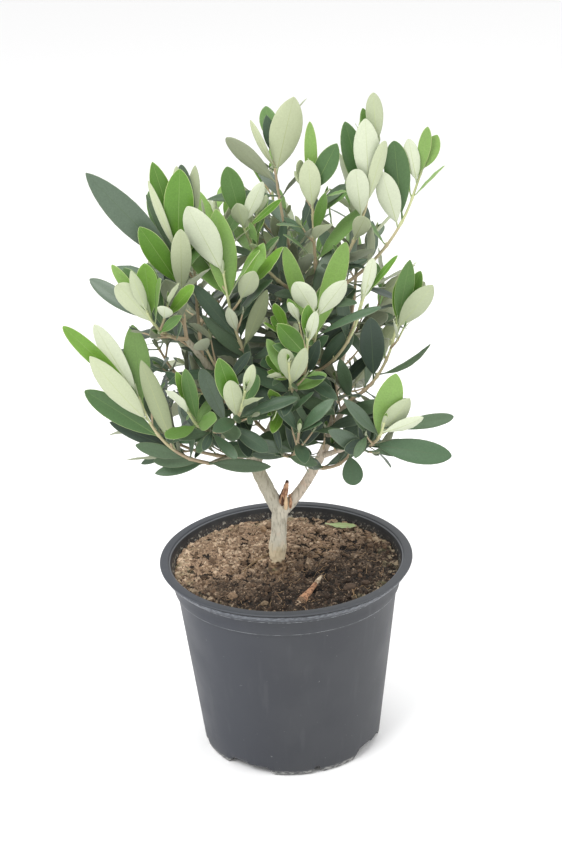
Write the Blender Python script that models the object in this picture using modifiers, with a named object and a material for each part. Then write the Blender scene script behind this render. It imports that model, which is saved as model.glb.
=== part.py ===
"""A young olive tree in a round nursery pot.

The tree stands in a pot filled with potting soil. A short trunk forks low into two boughs,
which carry tapering limbs. Each limb ends in leafy shoots: a mass is one stem with side twigs
and opposite pairs of leaves, each pair a quarter turn on from the last.

All sizes are in millimetres, and the mesh builders turn them into metres. X runs to the right,
Y to the back and Z up, from the centre of the pot's flat underside.
"""

import math
import random

import bmesh
import bpy
import numpy as np
from mathutils import Matrix, Vector
from mathutils.bvhtree import BVHTree

MM = 0.001
UP = Vector((0, 0, 1))

# ---------------------------------------------------------------- driving dimensions

POT_HEIGHT = 151.2
RIM_RADIUS = 95.0
LIP_WIDTH = 6.5
LIP_HEIGHT = 10.0
BASE_RADIUS = 68.0
WALL_TOP_RADIUS = 83.3  # outside of the wall, just under the shoulder
SHOULDER_HEIGHT = 129.5
SHOULDER_STEP = 2.0
WALL = 1.5
FLOOR_TOP = 9.0
FOOT_HEIGHT = 6.0
FOOT_RING_INNER = 62.0
BOSS_RADIUS = 16.0
POT_STEPS = 40

FOOT_PAIRS = 4
FOOT_PAIR_MIDDLE_DEG = 15.0  # from the front, turning to the right
FOOT_PAIR_SPAN_DEG = 64.0
NOTCH_DEG = 5.0

SOIL_LEVEL = 141.0
SOIL_HOLLOW = 2.5  # how far the soil dips round the trunk's foot
SOIL_HOLLOW_RADIUS = 24.0
# Low heaps: place, height above the level and radius. The first lies under the fallen leaf.
SOIL_HEAPS = ((45, 61, 2.4, 22.0), (74, 22, 4.2, 15.0), (-73, 26, 2.6, 16.0))
SOIL_CLEARANCE = 0.4
SOIL_RINGS = 6

TRUNK_FOOT = Vector((-7.6, -4, 135.5))
TRUNK_MIDDLE = Vector((-5.4, -4, 165.5))
TRUNK_FORK = Vector((-2.6, -3, 196))
# Radius at each share of the trunk's height: root flare, collar, the knob above it, waist, fork.
TRUNK_RADII = (
    (0.0, 7.6), (0.06, 6.4), (0.16, 5.3), (0.25, 5.6), (0.4, 6.9), (0.52, 6.2), (0.65, 5.8), (0.84, 6.1),
    (0.94, 6.9), (1.0, 5.4),
)

CLEARANCE = 0.3
LIMB_SIDES = 8
LIMB_STEPS = 5
STEM_SIDES = 3

# Each bough or limb: parent, where it leaves it, a point on its way, its tip, start and tip radius.
LIMBS = {
    "left_bough": ("trunk", 0.88, (-16, -5.5, 218.5), (-27.5, -12, 254), 6.0, 4.2),
    "right_bough": ("trunk", 0.85, (17, -6, 213.5), (36, -12, 253), 4.6, 3.1),
    "pruned_stub": ("trunk", 0.96, (0.6, -7.2, 205.5), (3.1, -8.5, 215.6), 4.0, 1.2),
    "left_limb": ("left_bough", 0.97, (-37, -30, 293), (-62, -52, 344), 3.2, 2.1),
    "leader": ("left_bough", 0.62, (-5, 4, 257), (12, 0, 288), 3.8, 3.2),
    "upper_leader": ("leader", 0.97, (25, -5, 326), (29, -5, 366), 2.9, 2.1),
    "right_limb": ("right_bough", 0.97, (42, -14, 267), (49, -16, 280), 2.6, 2.2),
    "right_low_limb": ("right_bough", 0.72, (42, -27, 247), (60, -42, 257), 2.1, 1.7),
    "low_left_limb": ("left_bough", 0.74, (-36, -24, 243), (-52, -34, 243), 2.2, 1.7),
    "left_front_limb": ("left_bough", 0.90, (-33, -35, 266), (-41, -53, 279), 2.0, 1.6),
    "low_mid_limb": ("left_bough", 0.80, (-6, -28, 247), (8, -45, 250), 1.9, 1.5),
    "centre_limb": ("leader", 0.55, (-6, -10, 285), (-12, -20, 305), 2.2, 1.7),
    "back_left_limb": ("left_bough", 0.95, (-36, 20, 285), (-50, 46, 320), 3.0, 2.0),
    "back_limb": ("leader", 0.75, (8, 28, 308), (4, 50, 346), 2.6, 1.8),
    "back_right_limb": ("right_bough", 0.92, (42, 18, 278), (54, 46, 318), 2.5, 1.8),
}

# Each leafy mass: limb, where its stem leaves it, the stem's tip, pairs of leaves, the length and
# the age of its leaves at the foot and at the tip (age 0 is old and dark, 1 young and pale), the
# turn of the first pair in degrees, and side twigs.
MASSES = {
    "low_left": ("low_left_limb", 1.0, (-97, -60, 306), 3, (46, 30), (0.1, 0.9), 40, 0),
    "left_mid": ("left_limb", 1.0, (-86, -74, 372), 4, (48, 40), (0.2, 1.0), 10, 1),
    "left_top": ("left_limb", 1.0, (-65, -48, 414), 5, (60, 46), (0.2, 0.8), 60, 1),
    "left_high": ("left_limb", 0.8, (-56, -22, 412), 5, (56, 50), (0.1, 0.7), 30, 1),
    "centre_left": ("centre_limb", 1.0, (-35, -46, 388), 5, (50, 52), (0.1, 1.0), 20, 1),
    "centre_left_low": ("centre_limb", 0.6, (-49, -50, 335), 4, (48, 40), (0.0, 0.4), 70, 1),
    "top_left": ("upper_leader", 0.85, (-21, -20, 414), 5, (44, 30), (0.1, 1.0), 0, 1),
    "top_mid": ("upper_leader", 0.75, (1, 4, 464), 6, (50, 40), (0.0, 0.4), 50, 0),
    "top_upper": ("upper_leader", 1.0, (27, -16, 448), 5, (46, 32), (0.3, 0.9), 15, 1),
    "top_right_a": ("upper_leader", 0.93, (72, -10, 462), 5, (48, 30), (0.3, 1.0), 35, 1),
    "top_right_b": ("upper_leader", 0.86, (103, 0, 441), 6, (46, 26), (0.3, 1.0), 75, 1),
    "centre": ("upper_leader", 0.35, (27, -52, 358), 3, (44, 36), (0.2, 1.0), 0, 1),
    "right_mid": ("upper_leader", 0.1, (60, -44, 368), 5, (44, 30), (0.1, 1.0), 45, 1),
    "right": ("right_limb", 1.0, (84, -20, 338), 5, (48, 34), (0.0, 1.0), 20, 2),
    "centre_front": ("leader", 0.9, (7, -78, 334), 5, (44, 30), (0.0, 1.0), 60, 1),
    "centre_low_front": ("upper_leader", 0.1, (20, -68, 347), 4, (44, 30), (0.1, 1.0), 30, 1),
    "left_front_b": ("left_front_limb", 1.0, (-23, -88, 319), 4, (40, 30), (0.1, 1.0), 80, 1),
    "left_front": ("left_front_limb", 0.8, (-62, -84, 303), 4, (46, 38), (0.1, 1.0), 25, 1),
    "right_low": ("right_low_limb", 1.0, (71, -64, 282), 3, (48, 40), (0.0, 1.0), 55, 1),
    "low_mid": ("low_mid_limb", 0.9, (12, -66, 278), 4, (42, 36), (0.0, 0.3), 85, 0),
    "right_low_old": ("right_bough", 0.6, (49, -30, 246), 3, (36, 34), (0.0, 0.1), 10, 0),
    "left_old": ("left_limb", 0.35, (-84, -14, 324), 4, (50, 44), (0.0, 0.2), 35, 0),
    "left_low_old": ("low_left_limb", 0.55, (-84, -20, 262), 4, (54, 46), (0.0, 0.1), 60, 0),
    "heart_old": ("leader", 0.35, (-34, 24, 292), 4, (50, 44), (0.0, 0.1), 0, 0),
    "heart_right_old": ("upper_leader", 0.2, (58, 16, 322), 4, (50, 44), (0.0, 0.2), 40, 0),
    "back_left": ("back_left_limb", 1.0, (-82, 78, 338), 5, (50, 38), (0.2, 0.9), 15, 1),
    "back_left_high": ("back_left_limb", 0.85, (-42, 58, 402), 5, (54, 42), (0.2, 0.9), 50, 1),
    "back_high": ("back_limb", 1.0, (0, 60, 428), 5, (52, 40), (0.2, 1.0), 30, 1),
    "back_mid": ("back_limb", 0.75, (16, 98, 366), 5, (50, 38), (0.2, 1.0), 70, 1),
    "back_right_high": ("back_right_limb", 1.0, (62, 56, 404), 5, (52, 40), (0.2, 0.9), 5, 1),
    "back_right": ("back_right_limb", 0.8, (82, 76, 326), 5, (48, 36), (0.2, 0.9), 45, 1),
    "back_low_left": ("back_left_limb", 0.35, (-62, 72, 284), 4, (54, 46), (0.0, 0.4), 20, 0),
    "back_low_right": ("back_right_limb", 0.3, (70, 70, 278), 4, (54, 46), (0.0, 0.4), 65, 0),
    "back_low": ("leader", 0.5, (0, 84, 290), 5, (54, 44), (0.0, 0.5), 25, 0),
}

# The leaves that shape the outline and stand out at the front. Each: share of its mass's stem, tip,
# width, age, which side looks to the front (1 the upper side, -1 the pale underside, 0 its edge),
# and its curl if it has one of its own.
OUTER_LEAVES = {
    "low_left": (
        (1.00, (-144, -64, 361), 12, 0.8, 1),
        (0.97, (-124, -54, 358), 15, 1.0, -1),
        (0.75, (-127, -65, 341), 18, 1.0, -1),
        (0.90, (-99, -46, 354), 18, 0.6, 1),
        (0.53, (-134, -56, 311), 16.5, 0.7, 1),
        (0.38, (-93, -60, 335), 14, 0.6, -1),
        (0.33, (-120, -44, 282), 10, 0.1, 0.8),
        (0.04, (-91, -40, 239.5), 9, 0.0, 0.8),
        (0.09, (-91, -46, 252), 9, 0.0, 1),
        (0.14, (-110, -46, 253.5), 5, 0.1, -0.6),
        (0.22, (-102, -50, 268.6), 10, 0.0, 1),
        (0.02, (-8, -56, 248.5), 10, 0.05, 1),
    ),
    "left_mid": (
        (0.75, (-104, -80, 394), 18, 1.0, -1),
        (0.85, (-86, -68, 404), 15, 0.9, 1),
        (0.80, (-125, -50, 389), 12, 0.0, 1),
        (0.88, (-108, -70, 403), 8, 0.8, 1),
        (0.97, (-94, -78, 404), 9, 0.9, -1),
    ),
    "left_top": (
        (0.72, (-121, -59, 464), 20, 0.15, 1),
        (0.52, (-88, -60, 428), 16, 0.7, 1),
        (1.00, (-78, -48, 467), 14, 0.6, 1),
        (0.85, (-60, -54, 463), 20, 0.8, 1),
        (0.42, (-61, -64, 425), 14, 0.5, -1),
        (0.85, (-81, -52, 457), 6, 0.9, -1),
        (1.00, (-62, -50, 464), 7, 0.9, -1),
        (0.70, (-84, -40, 443), 5, 0.0, 1),
    ),
    "centre_left": (
        (1.00, (-56, -58, 440), 21, 1.0, -1),
        (0.72, (-38, -46, 433), 20, 0.75, 1),
        (0.50, (-33, -50, 365), 8, 0.9, -1),
        (0.42, (-56, -40, 379), 11, 0.0, 1),
        (0.20, (-51, -42, 357), 10, 0.0, 1),
        (0.33, (-6, -45, 375), 11, 0.5, -1),
    ),
    "top_left": (
        (1.00, (-30, -16, 454), 16, 0.6, 1),
        (1.00, (-6, -26, 445), 11, 0.9, -1),
        (0.97, (-24, -30, 432), 12, 1.0, -1),
        (0.95, (6, -28, 433), 5, 0.9, 1),
    ),
    "top_mid": (
        (0.82, (17, -8, 498), 22, 0.5, -1),
        (0.77, (-30, -4, 471), 13, 0.0, -1),
        (0.86, (-13, -6, 483), 5.5, 0.6, -1, 0.9),
        (0.93, (-2, 3, 484), 9, 0.0, 1),
        (0.70, (-45, -10, 430), 9, 0.0, 0.6),
    ),
    "top_upper": (
        (0.82, (45, -16, 467), 15, 0.55, 1),
        (0.68, (25, -22, 458), 15, 1.0, -1),
        (0.75, (27, -18, 482), 9, 0.7, 1),
        (0.45, (36, -22, 435), 8, 0.7, 1),
    ),
    "top_right_a": (
        (0.72, (64, -20, 484), 18, 0.9, -1),
        (0.65, (51, -4, 479), 16, 0.5, 1),
        (1.00, (70, -14, 500), 12, 1.0, -1, 0.25),
        (0.90, (63, -10, 489), 8, 0.6, 1),
        (0.55, (57, -21, 450), 16, 1.0, -1),
        (0.62, (77, -12, 469), 10, 0.95, -0.7),
    ),
    "top_right_b": (
        (0.65, (75, -14, 446), 16, 1.0, -1),
        (0.70, (84, -6, 465), 18, 0.6, 1),
        (0.93, (94, -6, 466), 11, 1.0, -1),
        (1.00, (114, -2, 467), 12, 0.8, 1),
        (0.97, (104, -4, 472), 9, 0.8, 1),
    ),
    "centre": (
        (1.00, (13, -62, 385), 16, 1.0, -1),
        (0.97, (47, -62, 385), 14, 1.0, -1),
        (0.60, (7, -32, 401), 12, 0.85, 1),
        (0.62, (49, -30, 402), 15, 0.8, 1),
        (0.66, (71, -50, 361), 7, 0.0, 0.5, -0.5),
    ),
    "centre_low_front": (
        (0.95, (21, -74, 373), 9, 0.9, 1),
        (0.93, (26, -77, 369), 8, 1.0, -1),
        (0.80, (0, -70, 359), 14, 0.9, 1),
        (0.35, (28, -60, 343), 10, 0.0, 1),
    ),
    "centre_front": (
        (0.75, (4, -84, 346), 12, 1.0, -1),
        (0.70, (18, -84, 348), 10, 1.0, -1),
    ),
    "left_front_b": (
        (0.50, (-33, -84, 325), 13, 1.0, -1),
        (0.90, (-17, -90, 338), 8, 1.0, -1),
        (0.55, (-40, -80, 340), 15, 0.9, 1),
        (0.48, (12, -78, 308), 10, 0.0, 0.5),
        (0.15, (-53, -62, 326), 12, 0.0, 1),
    ),
    "left_front": (
        (0.70, (-68, -92, 336), 8, 0.8, 1),
        (0.72, (-62, -88, 338), 10, 0.7, 1),
    ),
    "right_mid": (
        (1.00, (83, -46, 396), 6, 0.8, 0.4),
        (0.97, (66, -50, 396), 9, 1.0, -1),
        (0.20, (52, -30, 338), 14, 0.0, 1),
    ),
    "right": (
        (0.02, (43, -26, 316), 10, 0.0, 1),
        (0.42, (106, -34, 327), 11, 0.0, 0.25, 0.8),
        (1.00, (93, -24, 386), 13, 0.6, 1),
        (0.95, (108, -30, 369), 17, 1.0, -1),
        (0.35, (65, -24, 345), 18, 0.0, 1),
        (0.88, (101, -16, 375), 12, 0.8, 1),
    ),
    "right_low": (
        (0.15, (118, -62, 254), 17.5, 0.05, 1),
        (0.85, (121, -46, 277), 10, 0.1, 1),
        (0.45, (80, -59, 316), 19, 0.75, 1),
        (0.57, (92, -66, 301), 15, 1.0, -1),
        (0.75, (98, -62, 286), 10, 0.95, -1),
    ),
    "left_high": (
        (1.00, (-51, -25, 458), 9, 0.7, -1),
        (0.88, (-60, -20, 460), 12, 0.3, 1),
    ),
    "right_low_old": ((0.95, (51, -38, 223.5), 15, 0.1, 1, 0.15),),
}

# The openings that the sky shows through, for the eye that looks at the tree's front from here: the
# middle of each, across and up on the plane through the trunk, and its radius.
EYE = Vector((0, -1160, 736))
SHOWN_SHARES = (0.3, 0.45, 0.6, 0.75, 0.9)
OPENINGS = (
    (-135, 352, 13), (-96, 444, 12), (-41, 457, 11), (88, 475, 10), (-109, 394, 10), (-115, 343, 10),
    (98, 289, 11), (39, 477, 10), (86, 395, 10), (95, 318, 9), (104, 326, 9), (65, 222, 9),
    (-44, 444, 8), (-139, 299, 8), (103, 272, 7), (-116, 243, 7), (-2, 222, 8), (118, 245, 9),
    (36, 466, 6), (-72, 453, 6), (87, 310, 6), (-9, 465, 6), (13, 451, 5), (-21, 446, 5),
    (79, 385, 5), (57, 480, 5), (9, 440, 5), (-94, 430, 5), (101, 246, 5), (-15, 256, 5),
    (65, 346, 5), (78, 300, 5), (59, 369, 4), (112, 394, 14), (122, 420, 12), (42, 215, 9),
    (-40, 213, 9), (26, 236, 5), (128, 262, 7), (140, 320, 12), (-32, 452, 6), (-143, 330, 10),
    (-19, 487, 9), (-67, 215, 7),
    (103, 420, 5), (96, 414, 5), (-94, 388, 5), (-86, 318, 4.5), (44, 438, 4), (14, 427, 4),
    (-17, 438, 4), (-111, 326, 4), (49, 311, 4), (72, 291, 4), (57, 343, 4), (-76, 316, 4),
    (64, 280, 4), (16, 415, 4), (47, 404, 4), (39, 302, 4), (-50, 234, 4), (71, 412, 3.5),
    (-52, 390, 3.5), (77, 325, 3.5), (-96, 338, 3.5),
)

SEED = 19
STEM_FOOT_RADIUS = 1.4
STEM_TIP_RADIUS = 0.8
STEM_STEPS = 4
STEM_REACH_OUT = 0.13  # how far a stem's middle stands out, and sags, as shares of its reach
STEM_SAG = 0.13
TWIG_LENGTH = 30.0
TWIG_STEPS = 2
CROWN_MIDDLE = Vector((-4, 0, 310))
FRONT = Vector((0, -1, 0))
SPREAD_OLD_DEG = 66.0
SPREAD_YOUNG_DEG = 24.0
OUTWARD_ROLL = 0.5
UPWARD_PULL = 0.4
AGE_RISE = 2.0  # only the last pairs of a stem are young
LEAF_SLENDER_OLD = 0.25  # a leaf's width as a share of its length
LEAF_SLENDER_YOUNG = 0.36
LEAF_THICKNESS = 0.6
LEAF_THICKNESS_SHARE = 0.0125
LEAF_SECTIONS = (0.33, 0.74)
ROOT_DEPTH = 0.3
PETIOLE_SHARE = 0.09
PETIOLE_HALF_WIDTH = 0.75

LOWEST_LEAF = 240.0
# A leaf that would touch something tries these changes of turn and spread, in degrees, and of length.
TRIES = (
    (0, 0, 1.0), (18, 0, 1.0), (-18, 0, 1.0), (0, 12, 1.0), (0, -12, 1.0), (34, 6, 0.92),
    (-34, 6, 0.92), (20, -12, 0.85), (-20, -12, 0.85), (0, 22, 0.8), (50, 0, 0.75), (-50, 0, 0.75),
)
# An outer leaf tries these places for its tip.
OUTER_SHIFTS = ((0, 0, 0), (0, -5, 0), (0, 5, 0), (3, -3, 2), (-3, 3, -2), (0, -10, 0), (0, 10, 0))

WOOD = (0.42, 0.36, 0.27)
BARK = (0.36, 0.32, 0.24)
OLD_LEAF = (0.06, 0.10, 0.06)
YOUNG_LEAF = (0.20, 0.34, 0.10)
DRY_LEAF = (0.30, 0.36, 0.18)
POT_GREY = (0.075, 0.085, 0.10)
EARTH = (0.13, 0.085, 0.055)


# ---------------------------------------------------------------- the tree's rule

def share_steps(steps):
    return [i / steps for i in range(steps + 1)]


def arc(start, via, tip, steps):
    """Points on the smooth bend from start through via to tip."""
    control = 2 * via - (start + tip) / 2
    return [
        start.lerp(control, t).lerp(control.lerp(tip, t), t) for t in share_steps(steps)
    ]


def along(path, share):
    """The point and the direction at a share of a path's length."""
    lengths = [(b - a).length for a, b in zip(path, path[1:])]
    left = share * sum(lengths)
    for i, length in enumerate(lengths):
        if left <= length or i == len(lengths) - 1:
            point = path[i].lerp(path[i + 1], min(1.0, left / length))
            return point, (path[i + 1] - path[i]).normalized()
        left -= length


class Tube:
    """A round tapering length of wood: the points along it and the radius at each."""

    def __init__(self, path, radii):
        self.path = path
        self.radii = radii

    def grown(self, by):
        """The same tube with a skin this much further out, and that much longer at each end."""
        first = (self.path[0] - self.path[1]).normalized() * by
        last = (self.path[-1] - self.path[-2]).normalized() * by
        path = [self.path[0] + first, *self.path[1:-1], self.path[-1] + last]
        return Tube(path, [r + by for r in self.radii])

    def skin(self, sides):
        """Vertices and faces of the tube, for testing what touches it."""
        points, faces = [], []
        across = self.path[1] - self.path[0]
        side = across.cross(UP if abs(across.normalized().z) < 0.9 else Vector((1, 0, 0))).normalized()
        for i, centre in enumerate(self.path):
            ahead = self.path[min(i + 1, len(self.path) - 1)] - self.path[max(i - 1, 0)]
            ahead.normalize()
            side = (side - ahead * side.dot(ahead)).normalized()
            other = ahead.cross(side)
            for k in range(sides):
                turn = math.tau * k / sides
                points.append(centre + (side * math.cos(turn) + other * math.sin(turn)) * self.radii[i])
        for i in range(len(self.path) - 1):
            for k in range(sides):
                a, b = i * sides + k, i * sides + (k + 1) % sides
                faces.append((a, b, b + sides, a + sides))
        last = (len(self.path) - 1) * sides
        faces.append(tuple(range(sides))[::-1])
        faces.append(tuple(last + k for k in range(sides)))
        return points, faces


class Leaf:
    """One leaf, from its root on the stem to its tip: which way it faces, its width, curl and age."""

    def __init__(self, root, tip, facing, width, curl, cup, blunt, age):
        chord = tip - root
        straight = chord.normalized()
        facing = (facing - straight * facing.dot(straight)).normalized()
        half = curl / 2
        self.root = root
        self.ahead = straight * math.cos(half) - facing * math.sin(half)
        self.face = facing * math.cos(half) + straight * math.sin(half)
        self.length = chord.length * half / math.sin(half)
        self.width = width
        self.thickness = max(LEAF_THICKNESS, LEAF_THICKNESS_SHARE * self.length)
        self.curl = curl
        self.cup = cup
        self.blunt = blunt
        self.age = age

    def half_width(self, share):
        """Narrow petiole, then an outline that is widest past the middle."""
        if share <= PETIOLE_SHARE:
            return PETIOLE_HALF_WIDTH
        u = (share - PETIOLE_SHARE) / (1 - PETIOLE_SHARE)
        rise, fall = 0.85, self.blunt
        widest = rise / (rise + fall)
        top = widest**rise * (1 - widest) ** fall
        blade = self.width / 2 * (u**rise * (1 - u) ** fall) / top
        return max(blade, PETIOLE_HALF_WIDTH * (1 - u))

    def place(self, share):
        """The midrib's point, the blade's facing and its sideways direction at a share of its length."""
        turn = self.curl * share
        bend = self.length / self.curl
        point = self.root + self.ahead * (bend * math.sin(turn)) + self.face * (bend * (1 - math.cos(turn)))
        facing = self.face * math.cos(turn) - self.ahead * math.sin(turn)
        return point, facing, self.ahead.cross(self.face)

    def spread(self):
        """Points along the midrib and both edges of the blade."""
        points = []
        for share in (0.2, 0.36, 0.52, 0.68, 0.84, 1.0):
            centre, _, side = self.place(share)
            half = self.half_width(share)
            points += [centre, centre + side * half, centre - side * half]
        return points

    def solid(self, extra=0.0, first=0.0):
        """Vertices and faces of the closed leaf, pointed at both ends: grown by extra, from a share on."""
        foot, _, _ = self.place(first)
        points = [foot - self.ahead * (extra if first else ROOT_DEPTH)]
        for share in LEAF_SECTIONS:
            centre, facing, side = self.place(share)
            half = self.half_width(share) + extra
            edge = facing * (self.cup * half + extra)
            keel = facing * (self.thickness + extra - 0.5 * self.cup * half)
            points += [centre + side * half + edge, centre - side * half + edge, centre - keel]
        points.append(self.place(1.0 + extra / self.length)[0])
        last = len(points) - 1
        faces = []
        for k in range(3):
            after = (k + 1) % 3
            faces.append((0, 1 + after, 1 + k))
            faces.append((1 + k, 1 + after, 4 + after, 4 + k))
            faces.append((4 + k, 4 + after, last))
        return points, faces


def seen_at(point):
    """Where the eye sees this point, across and up on the plane through the trunk."""
    seen = EYE + (point - EYE) * (EYE.y / (EYE.y - point.y))
    return seen.x, seen.z


class Space:
    """What is already in the crown, for skipping a leaf or twig that would touch it, or that would
    close one of the crown's openings or hide one of its shown leaves."""

    def __init__(self):
        self.held = []
        self.clear = [(x, z, radius, math.inf) for x, z, radius in OPENINGS]

    def show(self, leaf):
        """Keeps this leaf in view: nothing grows before it, as the eye sees it."""
        for share in SHOWN_SHARES:
            centre, _, _ = leaf.place(share)
            self.clear.append((*seen_at(centre), leaf.half_width(share), centre.y - 1))

    def hidden(self, points):
        """Whether any of these points stands in an opening or before a shown leaf."""
        seen = np.array([seen_at(point) for point in points])[:, None, :]
        depth = np.array([point.y for point in points])[:, None]
        clear = np.array(self.clear)
        apart = ((seen - clear[:, :2]) ** 2).sum(axis=2)
        return bool(((apart < clear[:, 2] ** 2) & (depth < clear[:, 3])).any())

    @staticmethod
    def tree(points, faces):
        return BVHTree.FromPolygons(points, faces, epsilon=0.0)

    def add(self, points, faces, owner):
        low = Vector(map(min, *points))
        high = Vector(map(max, *points))
        self.held.append((self.tree(points, faces), low, high, owner))

    def free(self, points, faces, skipped=()):
        low = Vector(map(min, *points))
        high = Vector(map(max, *points))
        own = None
        for tree, least, most, owner in self.held:
            if owner in skipped:
                continue
            if any(high[i] < least[i] or low[i] > most[i] for i in range(3)):
                continue
            own = own or self.tree(points, faces)
            if own.overlap(tree):
                return False
        return True


def tapered(path, first, last):
    steps = len(path) - 1
    return Tube(path, [first + (last - first) * i / steps for i in range(steps + 1)])


CHIP_SIDES = 5
WOOD_CHIP = tapered([Vector((8, -59, 140)), Vector((17, -44, 143.5)), Vector((26, -28, 147))], 3.6, 1.0)
FALLEN_LEAF = Leaf(Vector((32, 64, 144.9)), Vector((56, 57, 145.0)), UP, 10, 0.3, 0.1, 0.7, 0.5)


def grow_wood():
    """The trunk and every limb, by name."""
    shares = [share for share, _ in TRUNK_RADII]
    smooth = arc(TRUNK_FOOT, TRUNK_MIDDLE, TRUNK_FORK, 24)
    path = [along(smooth, share)[0] for share in shares]
    wood = {"trunk": Tube(path, [radius for _, radius in TRUNK_RADII])}
    for name, (parent, share, via, tip, first, last) in LIMBS.items():
        start, _ = along(wood[parent].path, share)
        wood[name] = tapered(arc(start, Vector(via), Vector(tip), LIMB_STEPS), first, last)
    return wood


def stem_of(wood, limb, share, tip):
    """A mass's stem: it reaches out from its limb first, and turns up towards its tip."""
    start, _ = along(wood[limb].path, share)
    reach = tip - start
    sag = Vector((reach.x * STEM_REACH_OUT, reach.y * STEM_REACH_OUT, -max(0.0, reach.z) * STEM_SAG))
    via = start + reach * 0.5 + sag
    return tapered(arc(start, via, tip, STEM_STEPS), STEM_FOOT_RADIUS, STEM_TIP_RADIUS)


def leaf_frame(ahead, turn, spread):
    """The direction and the facing of a leaf that leaves a stem at this turn round it and this angle."""
    side = ahead.cross(UP)
    if side.length < 0.2:
        side = ahead.cross(Vector((0, 1, 0)))
    side.normalize()
    out = Matrix.Rotation(turn, 3, ahead) @ side
    pointing = ahead * math.cos(spread) + out * math.sin(spread)
    facing = ahead - pointing * ahead.dot(pointing)
    return pointing.normalized(), facing.normalized()


def seen_from(place):
    """The way that a leaf here turns one of its faces: out of the crown, and mostly to its front or back."""
    out = (place - CROWN_MIDDLE).normalized()
    return (out - FRONT * math.copysign(0.8, out.y)).normalized()


def leaf_form(age, draw):
    """A leaf's curl, cup and how blunt its tip is: old leaves bend back, young ones bend in."""
    curl = 0.75 * age - 0.30 + 0.22 * draw.uniform(-1, 1)
    cup = 0.10 + 0.22 * age + 0.06 * draw.uniform(-1, 1)
    blunt = 0.66 + 0.14 * draw.uniform(-1, 1)
    return math.copysign(max(abs(curl), 0.03), curl), cup, blunt


def outer_leaves(space, owner, stem, draw):
    """The mass's leaves of the outline and the front, each moved a little where it would touch something."""
    found = []
    for share, tip, width, age, side, *curl in OUTER_LEAVES.get(owner, ()):
        root, _ = along(stem.path, share)
        form = leaf_form(age, draw)
        form = (*curl, *form[-2:]) if curl else form
        facing = FRONT * side + UP * (1 - 0.7 * abs(side))
        choices = (
            Leaf(root, Vector(tip) + Vector(shift), facing, width, *form, age) for shift in OUTER_SHIFTS
        )
        found.append(first_free(space, owner, choices))
    found = [leaf for leaf in found if leaf]
    for leaf in found:
        space.show(leaf)
    return found


def ruled_leaf(space, owner, stem, share, turn, length, age, draw):
    """A leaf at this place on the stem, or None where every try touches something."""
    root, ahead = along(stem.path, share)
    turn += math.radians(9) * draw.uniform(-1, 1)
    spread_deg = SPREAD_OLD_DEG + (SPREAD_YOUNG_DEG - SPREAD_OLD_DEG) * age
    spread = math.radians(spread_deg + 6 * draw.uniform(-1, 1))
    length *= 1 + 0.10 * draw.uniform(-1, 1)
    form = leaf_form(age, draw)
    choices = []
    for more_turn, more_spread, scale in TRIES:
        wider = max(0.2, spread + math.radians(more_spread))
        pointing, facing = leaf_frame(ahead, turn + math.radians(more_turn), wider)
        pointing = (pointing + UP * UPWARD_PULL * age).normalized()
        side = 1 if facing.dot(seen_from(root)) > 0 or age < 0.35 else -1
        facing += seen_from(root) * OUTWARD_ROLL * side + UP * 0.4 * (1 - age)
        width = length * (LEAF_SLENDER_OLD + (LEAF_SLENDER_YOUNG - LEAF_SLENDER_OLD) * age)
        tip = root + pointing * length * scale
        leaf = Leaf(root, tip, facing, width, *form, age)
        if tip.z > LOWEST_LEAF and not space.hidden(leaf.spread()):
            choices.append(leaf)
    return first_free(space, owner, choices)


def first_free(space, owner, choices):
    """The first of these leaves that touches nothing, which then holds its space."""
    for leaf in choices:
        blade = leaf.solid(CLEARANCE, 0.1)
        whole = leaf.solid(CLEARANCE)
        if not space.free(*blade, skipped=(owner + " stem",)):
            continue
        if space.free(*whole, skipped=(owner, owner + " stem")):
            space.add(*whole, owner)
            return leaf
    return None


def leaf_pairs(space, owner, stem, pairs, first_share, lengths, ages, turn, draw):
    """Opposite pairs up a stem, each a quarter turn on from the last."""
    found = []
    for i in range(pairs):
        up = i / (pairs - 1)
        share = min(first_share + (1 - first_share) * up, 0.995)
        length = lengths[0] + (lengths[1] - lengths[0]) * up
        age = ages[0] + (ages[1] - ages[0]) * up**AGE_RISE
        for half in (0, 1):
            at_turn = turn + math.pi * half + math.pi / 2 * i
            found.append(ruled_leaf(space, owner, stem, share, at_turn, length, age, draw))
    return [leaf for leaf in found if leaf]


def grow_foliage(wood):
    """Each mass by name: its stems, the mass's own stem first, and its leaves."""
    space = Space()
    for name, tube in wood.items():
        space.add(*tube.grown(CLEARANCE).skin(LIMB_SIDES), name)
    foliage = {}
    for name, (limb, share, tip, *_) in MASSES.items():
        stem = stem_of(wood, limb, share, Vector(tip))
        foliage[name] = ([stem], [])
        space.add(*stem.grown(CLEARANCE).skin(STEM_SIDES), name + " stem")
    draws = {name: random.Random(SEED * 1000 + index) for index, name in enumerate(MASSES)}
    for name, (stems, leaves) in foliage.items():
        leaves += outer_leaves(space, name, stems[0], draws[name])
    for name, (stems, leaves) in foliage.items():
        _, _, _, _, _, _, turn, twigs = MASSES[name]
        stems += grow_twigs(space, name, stems[0], math.radians(turn), twigs, draws[name])
    for name, (stems, leaves) in foliage.items():
        _, _, _, pairs, lengths, ages, turn, _ = MASSES[name]
        turn = math.radians(turn)
        leaves += leaf_pairs(space, name, stems[0], pairs, 0.2, lengths, ages, turn, draws[name])
        small = (0.8 * lengths[1], 0.7 * lengths[1])
        late = (0.8 * ages[1], ages[1])
        for twig in stems[1:]:
            leaves += leaf_pairs(space, name, twig, 2, 0.5, small, late, turn, draws[name])
    return foliage


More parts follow.
